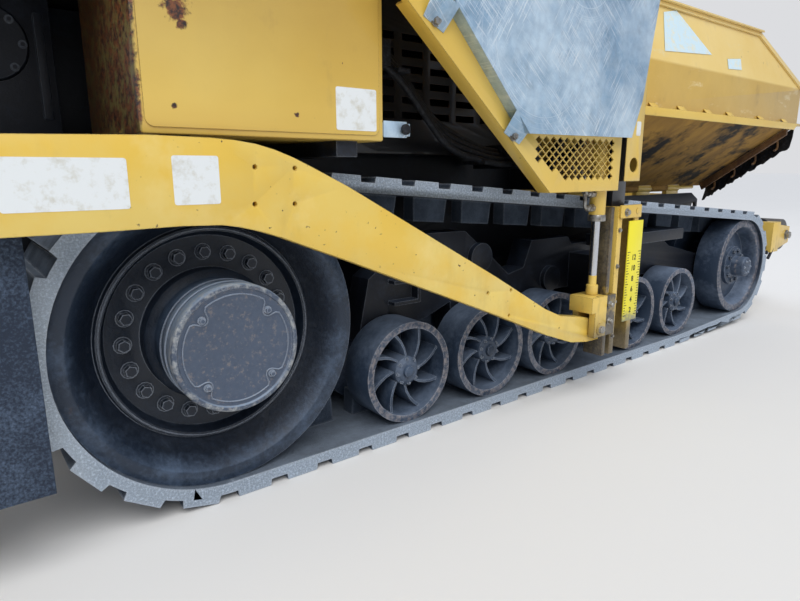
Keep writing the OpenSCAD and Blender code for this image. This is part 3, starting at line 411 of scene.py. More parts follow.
def rusty_patches_and_painted_shade(coat, body, cloudy, fine):
    """Paint has blown off the boxes at a few places and along the rear edge. Their upper parts are darkened and their
    rear walls made olive-brown, both as painted shade.
    """
    rear = coat.step(coat.along("X") + coat.noise(28, 5, 0.7) * 0.022, -0.852, -0.857)
    lost = rear * coat.patches(34, 5, 0.7, 0.40, 0.52)
    for x, z, reach in ((-0.100, 1.300, 0.050), (-0.088, 1.268, 0.022), (-0.120, 1.090, 0.011),
                        (0.195, 1.085, 0.014), (0.210, 1.400, 0.020)):
        ragged = side_distance(coat, x, z) + coat.noise(36, 6, 0.75) * reach * 1.6
        lost = coat.most(lost, coat.step(ragged, reach * 1.45, reach * 1.25))
    # Painted shade: the upper part of the box is darkened.
    high = coat.step(coat.along("Z") + cloudy * 0.12, 1.16, 1.42)
    body = coat.blend(high * 0.42 + 0.10, body, tone(150, 118, 62))
    # Painted shade: the rear wall is coloured dark olive-brown.
    painted_shade_rear_wall = coat.step(coat.along("X"), -0.867, -0.8735)
    body = coat.blend(painted_shade_rear_wall, body, coat.blend(cloudy, tone(70, 62, 38), tone(142, 126, 66)))
    return coat.blend(lost, body, coat.blend(coat.step(fine, 0.42, 0.58), tone(44, 30, 24), tone(120, 70, 36)))


def greased_and_painted_shade(coat, body, cloudy, fine):
    """The rail that the slide runs on is black with grease and gravel dust, and so is the post's foot; the slot behind
    the post's face is darkened as painted shade, and above the post head the post is near-black.
    """
    rail = (coat.along("X") > 0.866) * (coat.along("X") < 0.926) * (coat.along("Z") < 0.800)
    foot = coat.step(coat.along("Z") + cloudy * 0.10, 0.42, 0.30)
    # Painted shade: the slot behind the post's face is darkened.
    behind = (coat.along("X") > 0.985) * (abs(coat.along("Y")) < 1.368) * 0.75
    top = coat.along("Z") > 0.806
    grease = coat.most(rail * coat.step(cloudy, 0.25, 0.42), foot * 0.92, behind, top * 0.92)
    brown = coat.blend(coat.step(fine + cloudy, 0.75, 1.25), tone(30, 29, 30), tone(106, 94, 70))
    return coat.blend(grease, body, coat.blend(top, brown, tone(26, 26, 30)))


paint_tones = (tone(218, 180, 76), tone(229, 198, 104))
yellow = paint_coat("yellow_paint", *paint_tones, 0.55)
dress(yellow, "hopper_body", "push_mount", "engine_hood", "lift_brackets")
dress(yellow, "guard_frames", "tow_barrels", "consoles", "handrails", "canopy", width=0.0015)
dress(yellow, "push_beam", "screed_frame", "extender_right", "extender_left")
dress(paint_coat("arm_yellow", tone(219, 184, 82), tone(231, 204, 112), 0.35, 1.3, over=blotched), "tow_arms")
box_paint = paint_coat("box_yellow", *paint_tones, 0.5, 1.2, over=rusty_patches_and_painted_shade)
dress(box_paint, "side_boxes", width=0.006)
dress(paint_coat("housing_yellow_black_and_painted_shade", *paint_tones, 0.6, over=black_parts_and_painted_shade), "engine_housing")
rail_paint = paint_coat("rail_yellow", *paint_tones, 0.9, 1.6, over=greased_and_painted_shade)
dress(rail_paint, "tow_posts", "tow_slide_right", "tow_slide_left")
wing_tones = (tone(224, 184, 78), tone(230, 198, 112))
wing_paint = paint_coat("wing_yellow_stained_and_painted_light", *wing_tones, 0.7, 1.2, over=asphalt_stained_and_painted_light)
matt = below_lip(wing_paint)
wing_paint.feed("Roughness", 0.36 + matt * 0.40 + wing_paint.noise(40, 5) * 0.14)
wing_paint.feed("Coat Weight", 0.35 - matt * 0.35)
dress(wing_paint, "hopper_wing_right", "hopper_wing_left")


# Wheel fixings: forged nuts on hardened washers hold the drive wheels to their hubs, smaller screws hold
# the hub caps, and each roller and idler has a ring of its own. All are painted over with the wheel.
def place(x, y, z):
    """A point in metres ahead of the drive axle, left of the middle and above the ground."""
    return Vector((x - axle_back, y, z))


def circle(count, start=0.0):
    """Evenly spaced angles round a circle."""
    return [start + math.tau * k / count for k in range(count)]


def settled(piece):
    """The plain mesh that a piece's modifiers make of it."""
    return bpy.data.meshes.new_from_object(piece.evaluated_get(bpy.context.evaluated_depsgraph_get()))


class Shape:
    """A mesh made of blocks, plates, tubes and turned forms, placed from the drive axle."""

    def __init__(self):
        self.mesh = bmesh.new()

    def block(self, x, y, z):
        for v in bmesh.ops.create_cube(self.mesh, size=1)["verts"]:
            v.co = Vector((x[v.co.x > 0], y[v.co.y > 0], z[v.co.z > 0]))

    def loft(self, rings, closed=False):
        """Skins rings of as many points each; the ends are capped unless the loft closes on itself."""
        made = [[self.mesh.verts.new(p) for p in ring] for ring in rings]
        for a, b in list(zip(made, made[1:])) + ([(made[-1], made[0])] if closed else []):
            for i in range(len(a)):
                j = (i + 1) % len(a)
                self.mesh.faces.new((a[i], a[j], b[j], b[i]))
        if not closed:
            self.mesh.faces.new(made[0][::-1])
            self.mesh.faces.new(made[-1])

    def plate(self, corners, depth):
        depth = Vector(depth)
        self.loft([[Vector(c) for c in corners], [Vector(c) + depth for c in corners]])

    def tube(self, path, radius, sides=10, closed=False):
        path = [Vector(p) for p in path]
        last = len(path) - 1
        side = None
        rings = []
        for i, p in enumerate(path):
            before, after = (i - 1, (i + 1) % len(path)) if closed else (max(i - 1, 0), min(i + 1, last))
            along = (path[after] - path[before]).normalized()
            if side is None:
                side = along.orthogonal().normalized()
            side = (side - along * side.dot(along)).normalized()
            other = along.cross(side)
            rings.append([p + (side * math.cos(t) + other * math.sin(t)) * radius for t in circle(sides)])
        self.loft(rings, closed)

    def pipe(self, corners, bend, radius, sides=10, steps=5):
        """A tube along corners that are rounded to short arcs."""
        corners = [Vector(c) for c in corners]
        path = [corners[0]]
        for a, b, c in zip(corners, corners[1:], corners[2:]):
            first, last = b + (a - b).normalized() * bend, b + (c - b).normalized() * bend
            for t in (k / steps for k in range(steps + 1)):
                path.append(first * (1 - t) ** 2 + b * 2 * t * (1 - t) + last * t * t)
        self.tube(path + [corners[-1]], radius, sides)

    def turn(self, profile, centre, axis, steps=32):
        """Turns (radius, distance along the axis) pairs round an axis through the centre."""
        axis, centre = Vector(axis).normalized(), Vector(centre)
        side = axis.orthogonal().normalized()
        other = axis.cross(side)
        self.loft([[centre + axis * d + (side * math.cos(t) + other * math.sin(t)) * max(r, 1e-5)
                    for t in circle(steps)] for r, d in profile])

    def mirrored(self):
        """Adds the same on the machine's other side."""
        copy = bmesh.ops.duplicate(self.mesh, geom=self.mesh.verts[:] + self.mesh.edges[:] + self.mesh.faces[:])
        for v in (g for g in copy["geom"] if isinstance(g, bmesh.types.BMVert)):
            v.co.y = -v.co.y
        return self

    def on_side(self, side):
        """Leaves a shape drawn for the right side, -1, there or moves it to the left, 1."""
        for v in self.mesh.verts:
            v.co.y *= -side
        return self

    def finish(self, name, slot, coat, bevel=0.0015, body="chassis", steps=2, replaces=()):
        """Makes a piece of the shape, with its corners rounded, that rides on a body."""
        bmesh.ops.remove_doubles(self.mesh, verts=self.mesh.verts, dist=1e-6)
        bmesh.ops.recalc_face_normals(self.mesh, faces=self.mesh.faces)
        bmesh.ops.translate(self.mesh, verts=self.mesh.verts, vec=(-axle_back, 0, 0))
        data = bpy.data.meshes.new(name)
        self.mesh.to_mesh(data)
        self.mesh.free()
        data.materials.append(coat.material)
        piece = put(name, data)
        if bevel:
            edge = piece.modifiers.new("edge", "BEVEL")
            edge.width = bevel
            edge.segments = steps
            edge.angle_limit = math.radians(35)
        piece.modifiers.new("smooth", "NODES").node_group = smoothing
        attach(piece, body)
        if replaces:
            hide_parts(*replaces)
        return piece


def fastener_tree():
    """Sets a hexagon head on a washer at every point, facing along the point's own direction."""
    tree = bpy.data.node_groups.new("fasteners", "GeometryNodeTree")
    tree.interface.new_socket("Points", in_out="INPUT", socket_type="NodeSocketGeometry")
    for name, kind in (("Head radius", "Float"), ("Head height", "Float"), ("Washer radius", "Float"),
                       ("Sides", "Int"), ("Seed", "Int"), ("Finish", "Material")):
        tree.interface.new_socket(name, in_out="INPUT", socket_type="NodeSocket" + kind)
    tree.interface.new_socket("Geometry", in_out="OUTPUT", socket_type="NodeSocketGeometry")
    add, link = tree.nodes.new, tree.links.new
    given, result = add("NodeGroupInput"), add("NodeGroupOutput")
    head, washer = add("GeometryNodeMeshCylinder"), add("GeometryNodeMeshCylinder")
    washer_sides, washer_thickness, sixth_of_a_turn = 12, 0.003, 1.05
    washer.inputs["Vertices"].default_value = washer_sides
    washer.inputs["Depth"].default_value = washer_thickness
    link(given.outputs["Sides"], head.inputs["Vertices"])
    link(given.outputs["Head radius"], head.inputs["Radius"])
    link(given.outputs["Head height"], head.inputs["Depth"])
    link(given.outputs["Washer radius"], washer.inputs["Radius"])
    rise = add("ShaderNodeMath")
    rise.operation = "MULTIPLY_ADD"
    rise.inputs[1].default_value = 0.5
    rise.inputs[2].default_value = 0.002
    link(given.outputs["Head height"], rise.inputs[0])
    lift = add("ShaderNodeCombineXYZ")
    link(rise.outputs[0], lift.inputs["Z"])
    raised, join = add("GeometryNodeTransform"), add("GeometryNodeJoinGeometry")
    link(head.outputs["Mesh"], raised.inputs["Geometry"])
    link(lift.outputs[0], raised.inputs["Translation"])
    link(raised.outputs[0], join.inputs[0])
    link(washer.outputs["Mesh"], join.inputs[0])
    facing, size = add("GeometryNodeInputNamedAttribute"), add("GeometryNodeInputNamedAttribute")
    facing.data_type = "FLOAT_VECTOR"
    facing.inputs["Name"].default_value = "facing"
    size.data_type = "FLOAT"
    size.inputs["Name"].default_value = "size"
    aim, spin = add("FunctionNodeAlignRotationToVector"), add("FunctionNodeAxisAngleToRotation")
    turned, chance = add("FunctionNodeRotateRotation"), add("FunctionNodeRandomValue")
    aim.axis = "Z"
    turned.rotation_space = "LOCAL"
    link(facing.outputs[0], aim.inputs["Vector"])
    chance.inputs["Max"].default_value = sixth_of_a_turn
    link(given.outputs["Seed"], chance.inputs["Seed"])
    link(next(o for o in chance.outputs if o.enabled), spin.inputs["Angle"])
    link(aim.outputs[0], turned.inputs[0])
    link(spin.outputs[0], turned.inputs[1])
    spread = add("GeometryNodeInstanceOnPoints")
    link(given.outputs["Points"], spread.inputs["Points"])
    link(join.outputs[0], spread.inputs["Instance"])
    link(turned.outputs[0], spread.inputs["Rotation"])
    link(size.outputs[0], spread.inputs["Scale"])
    real, paint = add("GeometryNodeRealizeInstances"), add("GeometryNodeSetMaterial")
    link(spread.outputs[0], real.inputs[0])
    link(real.outputs[0], paint.inputs["Geometry"])
    link(given.outputs["Finish"], paint.inputs["Material"])
    link(paint.outputs[0], result.inputs[0])
    return tree


fasteners = fastener_tree()


def fasten(name, coat, sites, head=0.012, tall=0.010, washer=0.017, body="chassis"):
    """Bolt heads as one plain mesh. Sites give each head's place, direction and size on the right side, and the
    left side gets the same."""
    both = sites + [((x, -y, z), (a, -b, c), k) for (x, y, z), (a, b, c), k in sites]
    points = bpy.data.meshes.new(name)
    points.from_pydata([place(*site[0]) for site in both], [], [])
    facing = points.attributes.new("facing", "FLOAT_VECTOR", "POINT")
    facing.data.foreach_set("vector", [v for site in both for v in site[1]])
    size = points.attributes.new("size", "FLOAT", "POINT")
    size.data.foreach_set("value", [site[2] for site in both])
    carrier = put(name + "_points", points)
    growth = carrier.modifiers.new("growth", "NODES")
    growth.node_group = fasteners
    given = {"Head radius": head, "Head height": tall, "Washer radius": washer, "Sides": 6, "Seed": 7,
             "Finish": coat.material}
    for item in fasteners.interface.items_tree:
        if item.in_out == "INPUT" and item.name in given:
            growth[item.identifier] = given[item.name]
    whole = settled(carrier)
    bpy.data.objects.remove(carrier)
    piece = put(name, whole)
    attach(piece, body)


def ring(centre, radius, count, size, start=0.0):
    """Sites of heads on a circle in the machine's side."""
    x, y, z = centre
    return [((x + radius * math.cos(t), y, z + radius * math.sin(t)), (0, -1, 0), size) for t in circle(count, start)]


wheel_face = 1.180
roller_z, idler_x, idler_z = 0.237, 3.277, 0.364
rollers = (0.679, 1.096, 1.501, 2.126, 2.556)
sites = ring((0, -wheel_face + 0.105, wheel_z), 0.236, 20, 1.35)
sites += ring((0, -wheel_face - 0.115, wheel_z), 0.128, 4, 0.62, 0.8)
for x in rollers:
    sites += ring((x, -wheel_face + 0.0165, roller_z), 0.045, 8, 0.42, 0.2 + x)
sites += ring((idler_x, -wheel_face + 0.036, idler_z), 0.092, 10, 0.95)
sites += ring((idler_x, -wheel_face - 0.045, idler_z), 0.038, 6, 0.42)
fasten("wheel_nuts", wheel_iron, sites, 0.0125, 0.014, 0.018)

caps = Shape()
cover = []
cover_radius, notch_depth, notch_half = 0.146, 0.034, 0.16
for t in circle(120):
    near = min(abs((t - math.pi / 4 - q * math.pi / 2 + math.pi) % math.tau - math.pi) for q in range(4))
    r = cover_radius - notch_depth * max(0.0, 1 - (near / notch_half) ** 2) ** 0.5
    cover.append((r * math.cos(t), -wheel_face - 0.1145, wheel_z + r * math.sin(t)))
caps.tube(cover, 0.0022, 6, True)
for r, depth in ((0.172, 0.06), (0.172, 0.02), (0.303, -0.07)):
    hoop = [(r * math.cos(t), -wheel_face - depth, wheel_z + r * math.sin(t)) for t in circle(72)]
    caps.tube(hoop, 0.0028, 6, True)
for x in rollers:
    caps.turn([(0, 0.018), (0.012, 0.017), (0.021, 0.012), (0.024, 0.004), (0.024, -0.002)],
              (x, -wheel_face + 0.014, roller_z), (0, -1, 0), 20)
caps.mirrored().finish("hub_cap_trim", "cast", wheel_iron, 0)


# Tow point gauge: a bright plate riveted to the slide post, with ticks along both edges and plain numbers
# from 12 down to 2 that show how high the tow pin stands.
def scuffed(coat, body, cloudy, fine):
    """Gravel has rubbed the lower end of the plate grey."""
    rubbed = coat.step(coat.along("Z") + fine * 0.10, 0.40, 0.36)
    return coat.blend(rubbed * 0.8, body, tone(120, 122, 116))


gauge = paint_coat("gauge_yellow", tone(240, 224, 24), tone(244, 232, 60), 0.35, 0.35, 0.42, over=scuffed)
dress(gauge, "level_scales", width=0.0008)
ink = Coat("gauge_ink", Roughness=0.6)
ink.feed("Base Color", ink.blend(ink.patches(90, 4, 0.55, 0.45, 0.75), tone(24, 24, 22), tone(92, 86, 40)))
sides = ((-1, "right"), (1, "left"))
rear_edge, front_edge = 1.690, 1.790
tick_foot, tick_pitch, tick_height = 0.325, 0.0115, 0.0028
figure_foot, figure_pitch = 0.348, 0.046
for side, name in sides:
    marks = Shape()
    for k in range(25):
        z = tick_foot + k * tick_pitch
        long = 0.020 if k % 4 == 0 else 0.012
        for x in ((rear_edge, rear_edge + long), (front_edge - long, front_edge)):
            marks.block(x, sorted((side * 1.3799, side * 1.3806)), (z, z + tick_height))
    for k in range(6 if side < 0 else 0):
        figure = bpy.data.curves.new("figure", "FONT")
        figure.body = str(2 + 2 * k)
        figure.size = 0.032
        figure.offset = 0.0007
        figure.align_x = "CENTER"
        figure.align_y = "CENTER"
        figure.extrude = 0.0004
        carrier = put("figure", figure)
        flat = settled(carrier)
        stood_up = Matrix.Rotation(math.pi / 2, 4, "X")
        flat.transform(Matrix.Translation((1.740, -1.3803, figure_foot + k * figure_pitch)) @ stood_up)
        marks.mesh.from_mesh(flat)
        bpy.data.objects.remove(carrier)
    marks.finish(f"gauge_marks_{name}", "scale", ink, 0)


# Tow cylinders: a chromed rod comes out of a painted barrel through a steel gland, with two hose
# fittings behind it; a short painted collar and a fork join the rod to the tow pin.
chrome = Coat("polished_rod", Metallic=1.0)
smear = chrome.noise(18, 4, 0.6, chrome.stretched(1, 1, 0.25))
chrome.feed("Base Color", chrome.blend(chrome.step(smear, 0.5, 0.8), tone(206, 208, 212), tone(160, 156, 150)))
chrome.feed("Roughness", 0.14 + smear * 0.22)
dress(chrome, "wing_rod_right", "wing_rod_left", "lift_rod_right", "lift_rod_left", width=0.001)
dress(undercarriage, "wing_barrel_right", "wing_barrel_left", "lift_barrel_right", "lift_barrel_left", width=0.0015)
bright = Coat("plated_fittings", Metallic=0.9)
tarnish = bright.noise(40, 5, 0.6)
bright.feed("Base Color", bright.blend(bright.step(tarnish, 0.45, 0.7), tone(168, 166, 160), tone(96, 84, 70)))
bright.feed("Roughness", 0.3 + tarnish * 0.3)
ram_x, ram_y, up = 1.510, 1.340, (0, 0, 1)
for side, name in sides:
    rod = Shape()
    rod.turn([(0.0159, 0), (0.01625, 0.002), (0.01625, 0.35)], (ram_x, side * ram_y, 0.52), up, 28)
    rod.finish(f"tow_rod_chrome_{name}", "chrome", chrome, 0, f"tow_slide_{name}")
    collar = Shape()
    collar.turn([(0.0165, 0.042), (0.024, 0.039), (0.024, 0.0), (0.0165, 0.0)], (ram_x, side * ram_y, 0.442), up, 24)
    collar.finish(f"tow_rod_collar_{name}", "paint", yellow, 0.001, f"tow_slide_{name}")
gland = Shape()
gland.turn([(0.0175, -0.004), (0.034, -0.004), (0.0355, 0), (0.0355, 0.018), (0.0335, 0.022), (0.0175, 0.022)],
           (ram_x, -ram_y, 0.746), up, 36)
for z in (0.795, 0.850):
    gland.turn([(0.016, 0), (0.016, 0.03), (0.012, 0.03), (0.012, 0.045)], (ram_x - 0.028, -ram_y, z), (-1, 0, 0), 6)
    gland.pipe([(ram_x - 0.06, -ram_y, z), (ram_x - 0.085, -ram_y, z), (ram_x - 0.085, -ram_y, z + 0.05),
                (ram_x - 0.06, -1.25, z + 0.16)], 0.018, 0.0075)
gland.mirrored().finish("tow_cylinder_fittings", "steel", bright, 0.0008)
for side, name in sides:
    pin = Shape()
    for x, z, r in ((1.502, 0.304, 0.017), (1.560, 0.330, 0.011), (1.560, 0.400, 0.011)):
        pin.turn([(r * 1.5, 0), (r * 1.5, 0.004), (r, 0.004), (r, 0.016), (r * 0.8, 0.018), (0, 0.018)],
                 (x, side * 1.395, z), (0, side, 0), 6)
    pin.finish(f"tow_pin_bolts_{name}", "steel", bright, 0.0008, f"tow_slide_{name}")


# Post head: a bracket of thick plate, painted with the post, ties each tow post to its column with one
# bolt; its second hole is open. Four smaller bolts stand in a row down the post.
def rounded(x, z, radius=0.006, steps=4):
    """The outline of an upright plate with rounded corners, as x and z pairs."""
    corners = ((x[1] - radius, z[1] - radius, 0), (x[0] + radius, z[1] - radius, 90),
               (x[0] + radius, z[0] + radius, 180), (x[1] - radius, z[0] + radius, 270))
    turns = [(cx, cz, math.radians(a + 90 * k / steps)) for cx, cz, a in corners for k in range(steps + 1)]
    return [(cx + radius * math.cos(t), cz + radius * math.sin(t)) for cx, cz, t in turns]


def panel(shape, x, z, y, depth, radius=0.006, steps=4):
    """An upright plate with rounded corners on the right side, standing out from y by its depth."""
    shape.plate([(px, y, pz) for px, pz in rounded(x, z, radius, steps)], (0, -depth, 0))


head = Shape()
panel(head, (1.612, 1.765), (0.748, 0.802), -1.376, 0.008)
head.turn([(0.0125, 0), (0.0125, 0.002), (0.009, 0.0025), (0, 0.0025)], (1.735, -1.3835, 0.775), (0, -1, 0), 20)
head.mirrored().finish("post_heads", "paint", yellow, 0.002)
sites = [((1.655, -1.384, 0.772), (0, -1, 0), 1.0)]
sites += [((1.625, -1.376, z), (0, -1, 0), 0.6) for z in (0.25, 0.40, 0.55, 0.70)]
fasten("post_bolts", bright, sites)


# Galvanised shields: a flat sheet bent back along its rear edge, held by two tabs with bolts. Stones and a
# wire brush have scratched it in all directions.
zinc = Coat("galvanised_sheet", Metallic=0.5)
swirl = zinc.noise(5, 6, 0.7)
spangle = zinc.node("ShaderNodeTexVoronoi", Vector=zinc.object, Scale=26.0)["Distance"]


def scored(lean, size):
    """Clusters of parallel scratches that lean by an angle, where stones were dragged along the sheet."""
    run = zinc.node("ShaderNodeMapping", {"vector_type": "TEXTURE"}, Vector=zinc.object,
                    Rotation=(0, math.radians(lean), 0), Scale=(0.60, 1, 0.022))["Vector"]
    return zinc.patches(5, 3, 0.6, 0.55, 0.63, run) * zinc.patches(size, 3, 0.5, 0.50, 0.60)


def arcs(x, z, radius, width):
    """Round scratches about one point, left by a wire brush."""
    away = side_distance(zinc, x, z)
    lines = zinc.patches(1.0, 3, 0.7, 0.54, 0.62, zinc.node("ShaderNodeCombineXYZ", X=away * 150.0)["Vector"])
    return lines * zinc.step(abs(away - radius), width, width * 0.6)


brushed = zinc.most(arcs(1.22, 1.62, 0.17, 0.035), arcs(1.02, 1.34, 0.26, 0.05))
scratch = zinc.most(scored(-58, 6.0), scored(38, 4.3) * 0.8, brushed * 0.7)
smudge = zinc.patches(7, 5, 0.7, 0.56, 0.70, zinc.stretched(1, 1, 0.5))
sheet_tone = zinc.blend(zinc.step(swirl, 0.38, 0.62), tone(148, 180, 206), tone(208, 228, 242))
sheet_tone = zinc.blend(spangle * 0.3, sheet_tone, tone(136, 152, 168))
sheet_tone = zinc.blend(smudge * 0.5, sheet_tone, tone(116, 132, 148))
zinc.feed("Base Color", zinc.blend(scratch * 0.75, sheet_tone, tone(236, 243, 248)))
zinc.feed("Roughness", 0.38 + swirl * 0.2 - scratch * 0.08)
zinc.relief(scratch * 0.5 + swirl + spangle * 0.2, 0.0014, 0.6)
dress(zinc, "shield_plates", width=0.001)
tabs = Shape()
for x, z in ((0.584, 1.367), (0.922, 1.069)):
    tabs.plate([(x - 0.035, -1.4465, z + 0.055), (x + 0.055, -1.4465, z + 0.02), (x + 0.035, -1.4005, z - 0.045),
                (x - 0.04, -1.4005, z - 0.01)], (0, -0.003, 0.001))
tabs.mirrored().finish("shield_tabs", "zinc", zinc, 0.0008)
sites = [((x, -1.405, z), (0, -1, 0), 1.0) for x, z in ((0.588, 1.350), (0.925, 1.050))]
sites += [((x, -1.445, 1.56), (0, -1, 0), 0.8) for x in (0.72, 1.32)]
fasten("shield_bolts", bright, sites)


# Side flap: a sheet of conveyor rubber hung from the frame behind the belt; gravel has scuffed it. The
# smoother rubber of hoses, knobs and seals is here too.
flap = Coat("flap_rubber", Specular_IOR_Level=0.3)
grit = flap.noise(150, 5, 0.75)
scuffs = flap.step(grit * 0.7 + flap.noise(4, 4) * 0.4, 0.50, 0.72)
flap.feed("Base Color", flap.blend(scuffs, tone(46, 55, 70), tone(94, 110, 132)))
flap.feed("Roughness", 0.82 + grit * 0.15)
flap.relief(grit, 0.003)
dress(flap, "side_flaps", width=0.002)
hose = Coat("hose_rubber", Specular_IOR_Level=0.4)
bloom = hose.noise(60, 5, 0.7)
hose.feed("Base Color", hose.blend(hose.step(bloom, 0.48, 0.75), tone(16, 18, 23), tone(58, 62, 70)))
hose.feed("Roughness", 0.55 + bloom * 0.3)
hose.relief(bloom, 0.0008)
clamp = Shape()
clamp.block((-0.83, -0.45), (-1.283, -1.2755), (0.93, 0.985))
clamp.mirrored().finish("flap_clamps", "black_paint", undercarriage, 0.002)
sites = [((x, -1.283, 0.957), (0, -1, 0), 1.0) for x in (-0.80, -0.70, -0.60, -0.50)]
fasten("flap_bolts", bright, sites)


# Side boxes: folded sheet cabinets with a pressed face; a plated bracket with a black knob stands at the
# front corner, and one bare white plate is riveted on. A small one is on the guard's column.
plate_white = Coat("blank_plate", Roughness=0.45)
age = plate_white.noise(30, 6, 0.7)
faded_white = plate_white.blend(plate_white.step(age, 0.5, 0.75), tone(226, 229, 228), tone(196, 192, 176))
plate_white.feed("Base Color", faded_white)
plate_white.relief(age, 0.0004)
blanks, blank_thickness = Shape(), 0.0008
panel(blanks, (0.317, 0.452), (1.052, 1.166), -1.3035, blank_thickness)
panel(blanks, (1.650, 1.680), (1.075, 1.130), -1.400, blank_thickness)
blanks.mirrored().finish("blank_plates", "zinc", plate_white, 0)
face_plate = Shape()
panel(face_plate, (-0.188, 0.464), (1.040, 1.452), -1.300, 0.0035, 0.022, 6)
face_plate.mirrored().finish("side_box_faces", "paint", box_paint, 0.003, steps=3)
latch = Shape()
latch.block((0.480, 0.588), (-1.290, -1.262), (1.043, 1.080))
latch.block((0.485, 0.572), (-1.294, -1.290), (1.038, 1.085))
latch.mirrored().finish("side_box_latches", "zinc", zinc, 0.0015)
knob = Shape()
knob.turn([(0.010, -0.004), (0.010, 0.006), (0.016, 0.007), (0.016, 0.014), (0.012, 0.018), (0, 0.019)],
          (0.560, -1.294, 1.062), (0, -1, 0), 18)
knob.mirrored().finish("side_box_knobs", "seat", hose, 0)


# Tow arms: each is one thick flame-cut plate, painted yellow, that joins a tow pin to the screed. Two bare
# white plates are riveted to its outer face.
arm_blanks = Shape()
for x, z in (((-0.488, -0.249), (0.861, 0.969)), ((-0.154, -0.046), (0.865, 0.976))):
    panel(arm_blanks, x, z, -1.360, blank_thickness)
arm_blanks.mirrored().finish("tow_arm_plates", "zinc", plate_white, 0, "screed")


# Wing trim: a turned-down lip bar held by six welded tabs. A rusty strip with hooks runs under the front
# edge, and a thick rubber flashing hangs from it to keep mix out of the gap. Two blank stickers are faded.
faded_film = Coat("faded_film", Roughness=0.35)
peel = faded_film.noise(26, 6, 0.75)
film_tone = faded_film.blend(faded_film.step(peel, 0.5, 0.68), tone(206, 228, 236), tone(232, 222, 186))
faded_film.feed("Base Color", film_tone)
faded_film.relief(peel, 0.0005)
rusted = iron_coat("rusted_strip", tone(78, 52, 36), tone(150, 112, 66), 0.55, 0.62, 0.25)
seal = Shape()
seal.plate([(1.7815, -1.075, 1.062), (1.7815, -1.020, 1.105), (1.7815, -0.900, 1.015), (1.7815, -0.955, 0.970)],
           (0.011, 0, 0))
seal.mirrored().finish("hopper_seals", "rubber", hose, 0.001)


def on_front_edge(share):
    """The y and z of a point on the wing's front edge, from its top, 0, to its foot, 1."""
    return [a + (b - a) * share for a, b in ((-1.232, -0.730), (1.193, 0.853))]


def on_wing(x, z):
    """A point on the leaning panel above the lip."""
    return (x, -1.1785 - (1.612 - z) * 0.3356, z)


def wing_trim(side, name):
    bar, strip, flashing, patch = Shape(), Shape(), Shape(), Shape()
    bar.plate([(1.802, -1.280, 1.214), (3.600, -1.280, 1.214), (3.545, -1.280, 1.176), (1.802, -1.280, 1.176)],
              (0, -0.006, 0))
    for x in (2.02, 2.27, 2.53, 2.77, 3.15, 3.48):
        bar.plate([(x - 0.034, -1.264, 1.2145), (x + 0.034, -1.264, 1.2145), (x + 0.030, -1.241, 1.240),
                   (x - 0.030, -1.241, 1.240)], (0, 0, -0.005))
    (top_y, top_z), (foot_y, foot_z) = on_front_edge(0), on_front_edge(1)
    strip.plate([(3.585, top_y, top_z), (3.585, foot_y, foot_z), (3.585, foot_y - 0.02, foot_z - 0.042),
                 (3.585, top_y, top_z - 0.042)], (0.018, 0, 0))
    for k in range(4):
        y, z = on_front_edge(0.14 + 0.24 * k)
        strip.pipe([(3.60, y, z - 0.02), (3.66, y, z - 0.03), (3.665, y, z - 0.075), (3.625, y, z - 0.085)],
                   0.018, 0.007, 8, 4)
    rows = []
    hang, spans = 0.112, 40
    for k in range(spans + 1):
        y, z = on_front_edge(k / spans)
        droop = hang + 0.006 * math.sin(k * 1.3) + 0.004 * math.sin(k * 3.1)
        sway = 0.006 * math.sin(k * 0.9)
        rows.append([Vector((x, y, z + rise)) for x, rise in (
            (3.655 + sway, -droop), (3.662 + sway, -droop - 0.003), (3.692, -0.05), (3.698, 0.004), (3.688, 0.004),
            (3.682, -0.05))])
    flashing.loft(rows)
    for corners in (((2.120, 1.470), (2.190, 1.655), (2.317, 1.682), (2.583, 1.505)),
                    ((2.739, 1.451), (2.755, 1.503), (2.915, 1.521), (2.895, 1.461))):
        patch.plate([on_wing(*c) for c in corners], (0, -0.0009, 0.0003))
    body = f"hopper_wing_{name}"
    patch.on_side(side).finish(f"wing_blank_stickers_{name}", "zinc", faded_film, 0, body)
    bar.on_side(side).finish(f"wing_lip_bar_{name}", "paint", yellow, 0.0015, body)
    strip.on_side(side).finish(f"wing_front_strip_{name}", "steel", rusted, 0.001, body)
    flashing.on_side(side).finish(f"wing_flashing_{name}", "rubber", hose, 0, body)


for side, name in sides:
    wing_trim(side, name)


# Engine bay: doors, latches and a hood of folded sheet. Pressure pipes run along the bay's wall behind the
# guard frames, which is coloured black partly as painted shade, and are clamped together.
doors = Shape()
for x in ((0.470, 0.870), (0.900, 1.300), (1.330, 1.700)):
    panel(doors, x, (1.630, 1.860), -0.760, 0.004, 0.015)
panel(doors, (0.475, 1.730), (1.895, 1.930), -0.760, 0.003, 0.012)
doors.mirrored().finish("engine_doors", "paint", yellow, 0.0015)
pulls = Shape()
for x in (0.52, 0.95, 1.38):
    pulls.pipe([(x, -0.764, 1.74), (x, -0.800, 1.74), (x + 0.11, -0.800, 1.74), (x + 0.11, -0.764, 1.74)],
               0.015, 0.006, 8)
pulls.mirrored().finish("engine_door_pulls", "black_paint", undercarriage, 0)
pipes = Shape()
for k in range(4):
    y, drop = -0.98 - 0.028 * k, 0.035 * k
    pipes.pipe([(0.56, y, 1.440 - drop), (0.72, y, 1.36 - drop), (0.95, y, 1.12 - drop), (1.20, y, 1.03 - drop * 0.6),
                (1.44, y + 0.1, 1.02 - drop * 0.5)], 0.09, 0.0125, 10, 6)
for x, z in ((0.70, 1.30), (1.12, 1.00)):
    pipes.block((x, x + 0.05), (-1.09, -0.96), (z - 0.035, z - 0.02))
pipes.block((0.60, 0.66), (-1.10, -0.762), (1.28, 1.36))
pipes.block((1.38, 1.44), (-1.10, -0.762), (0.95, 1.05))
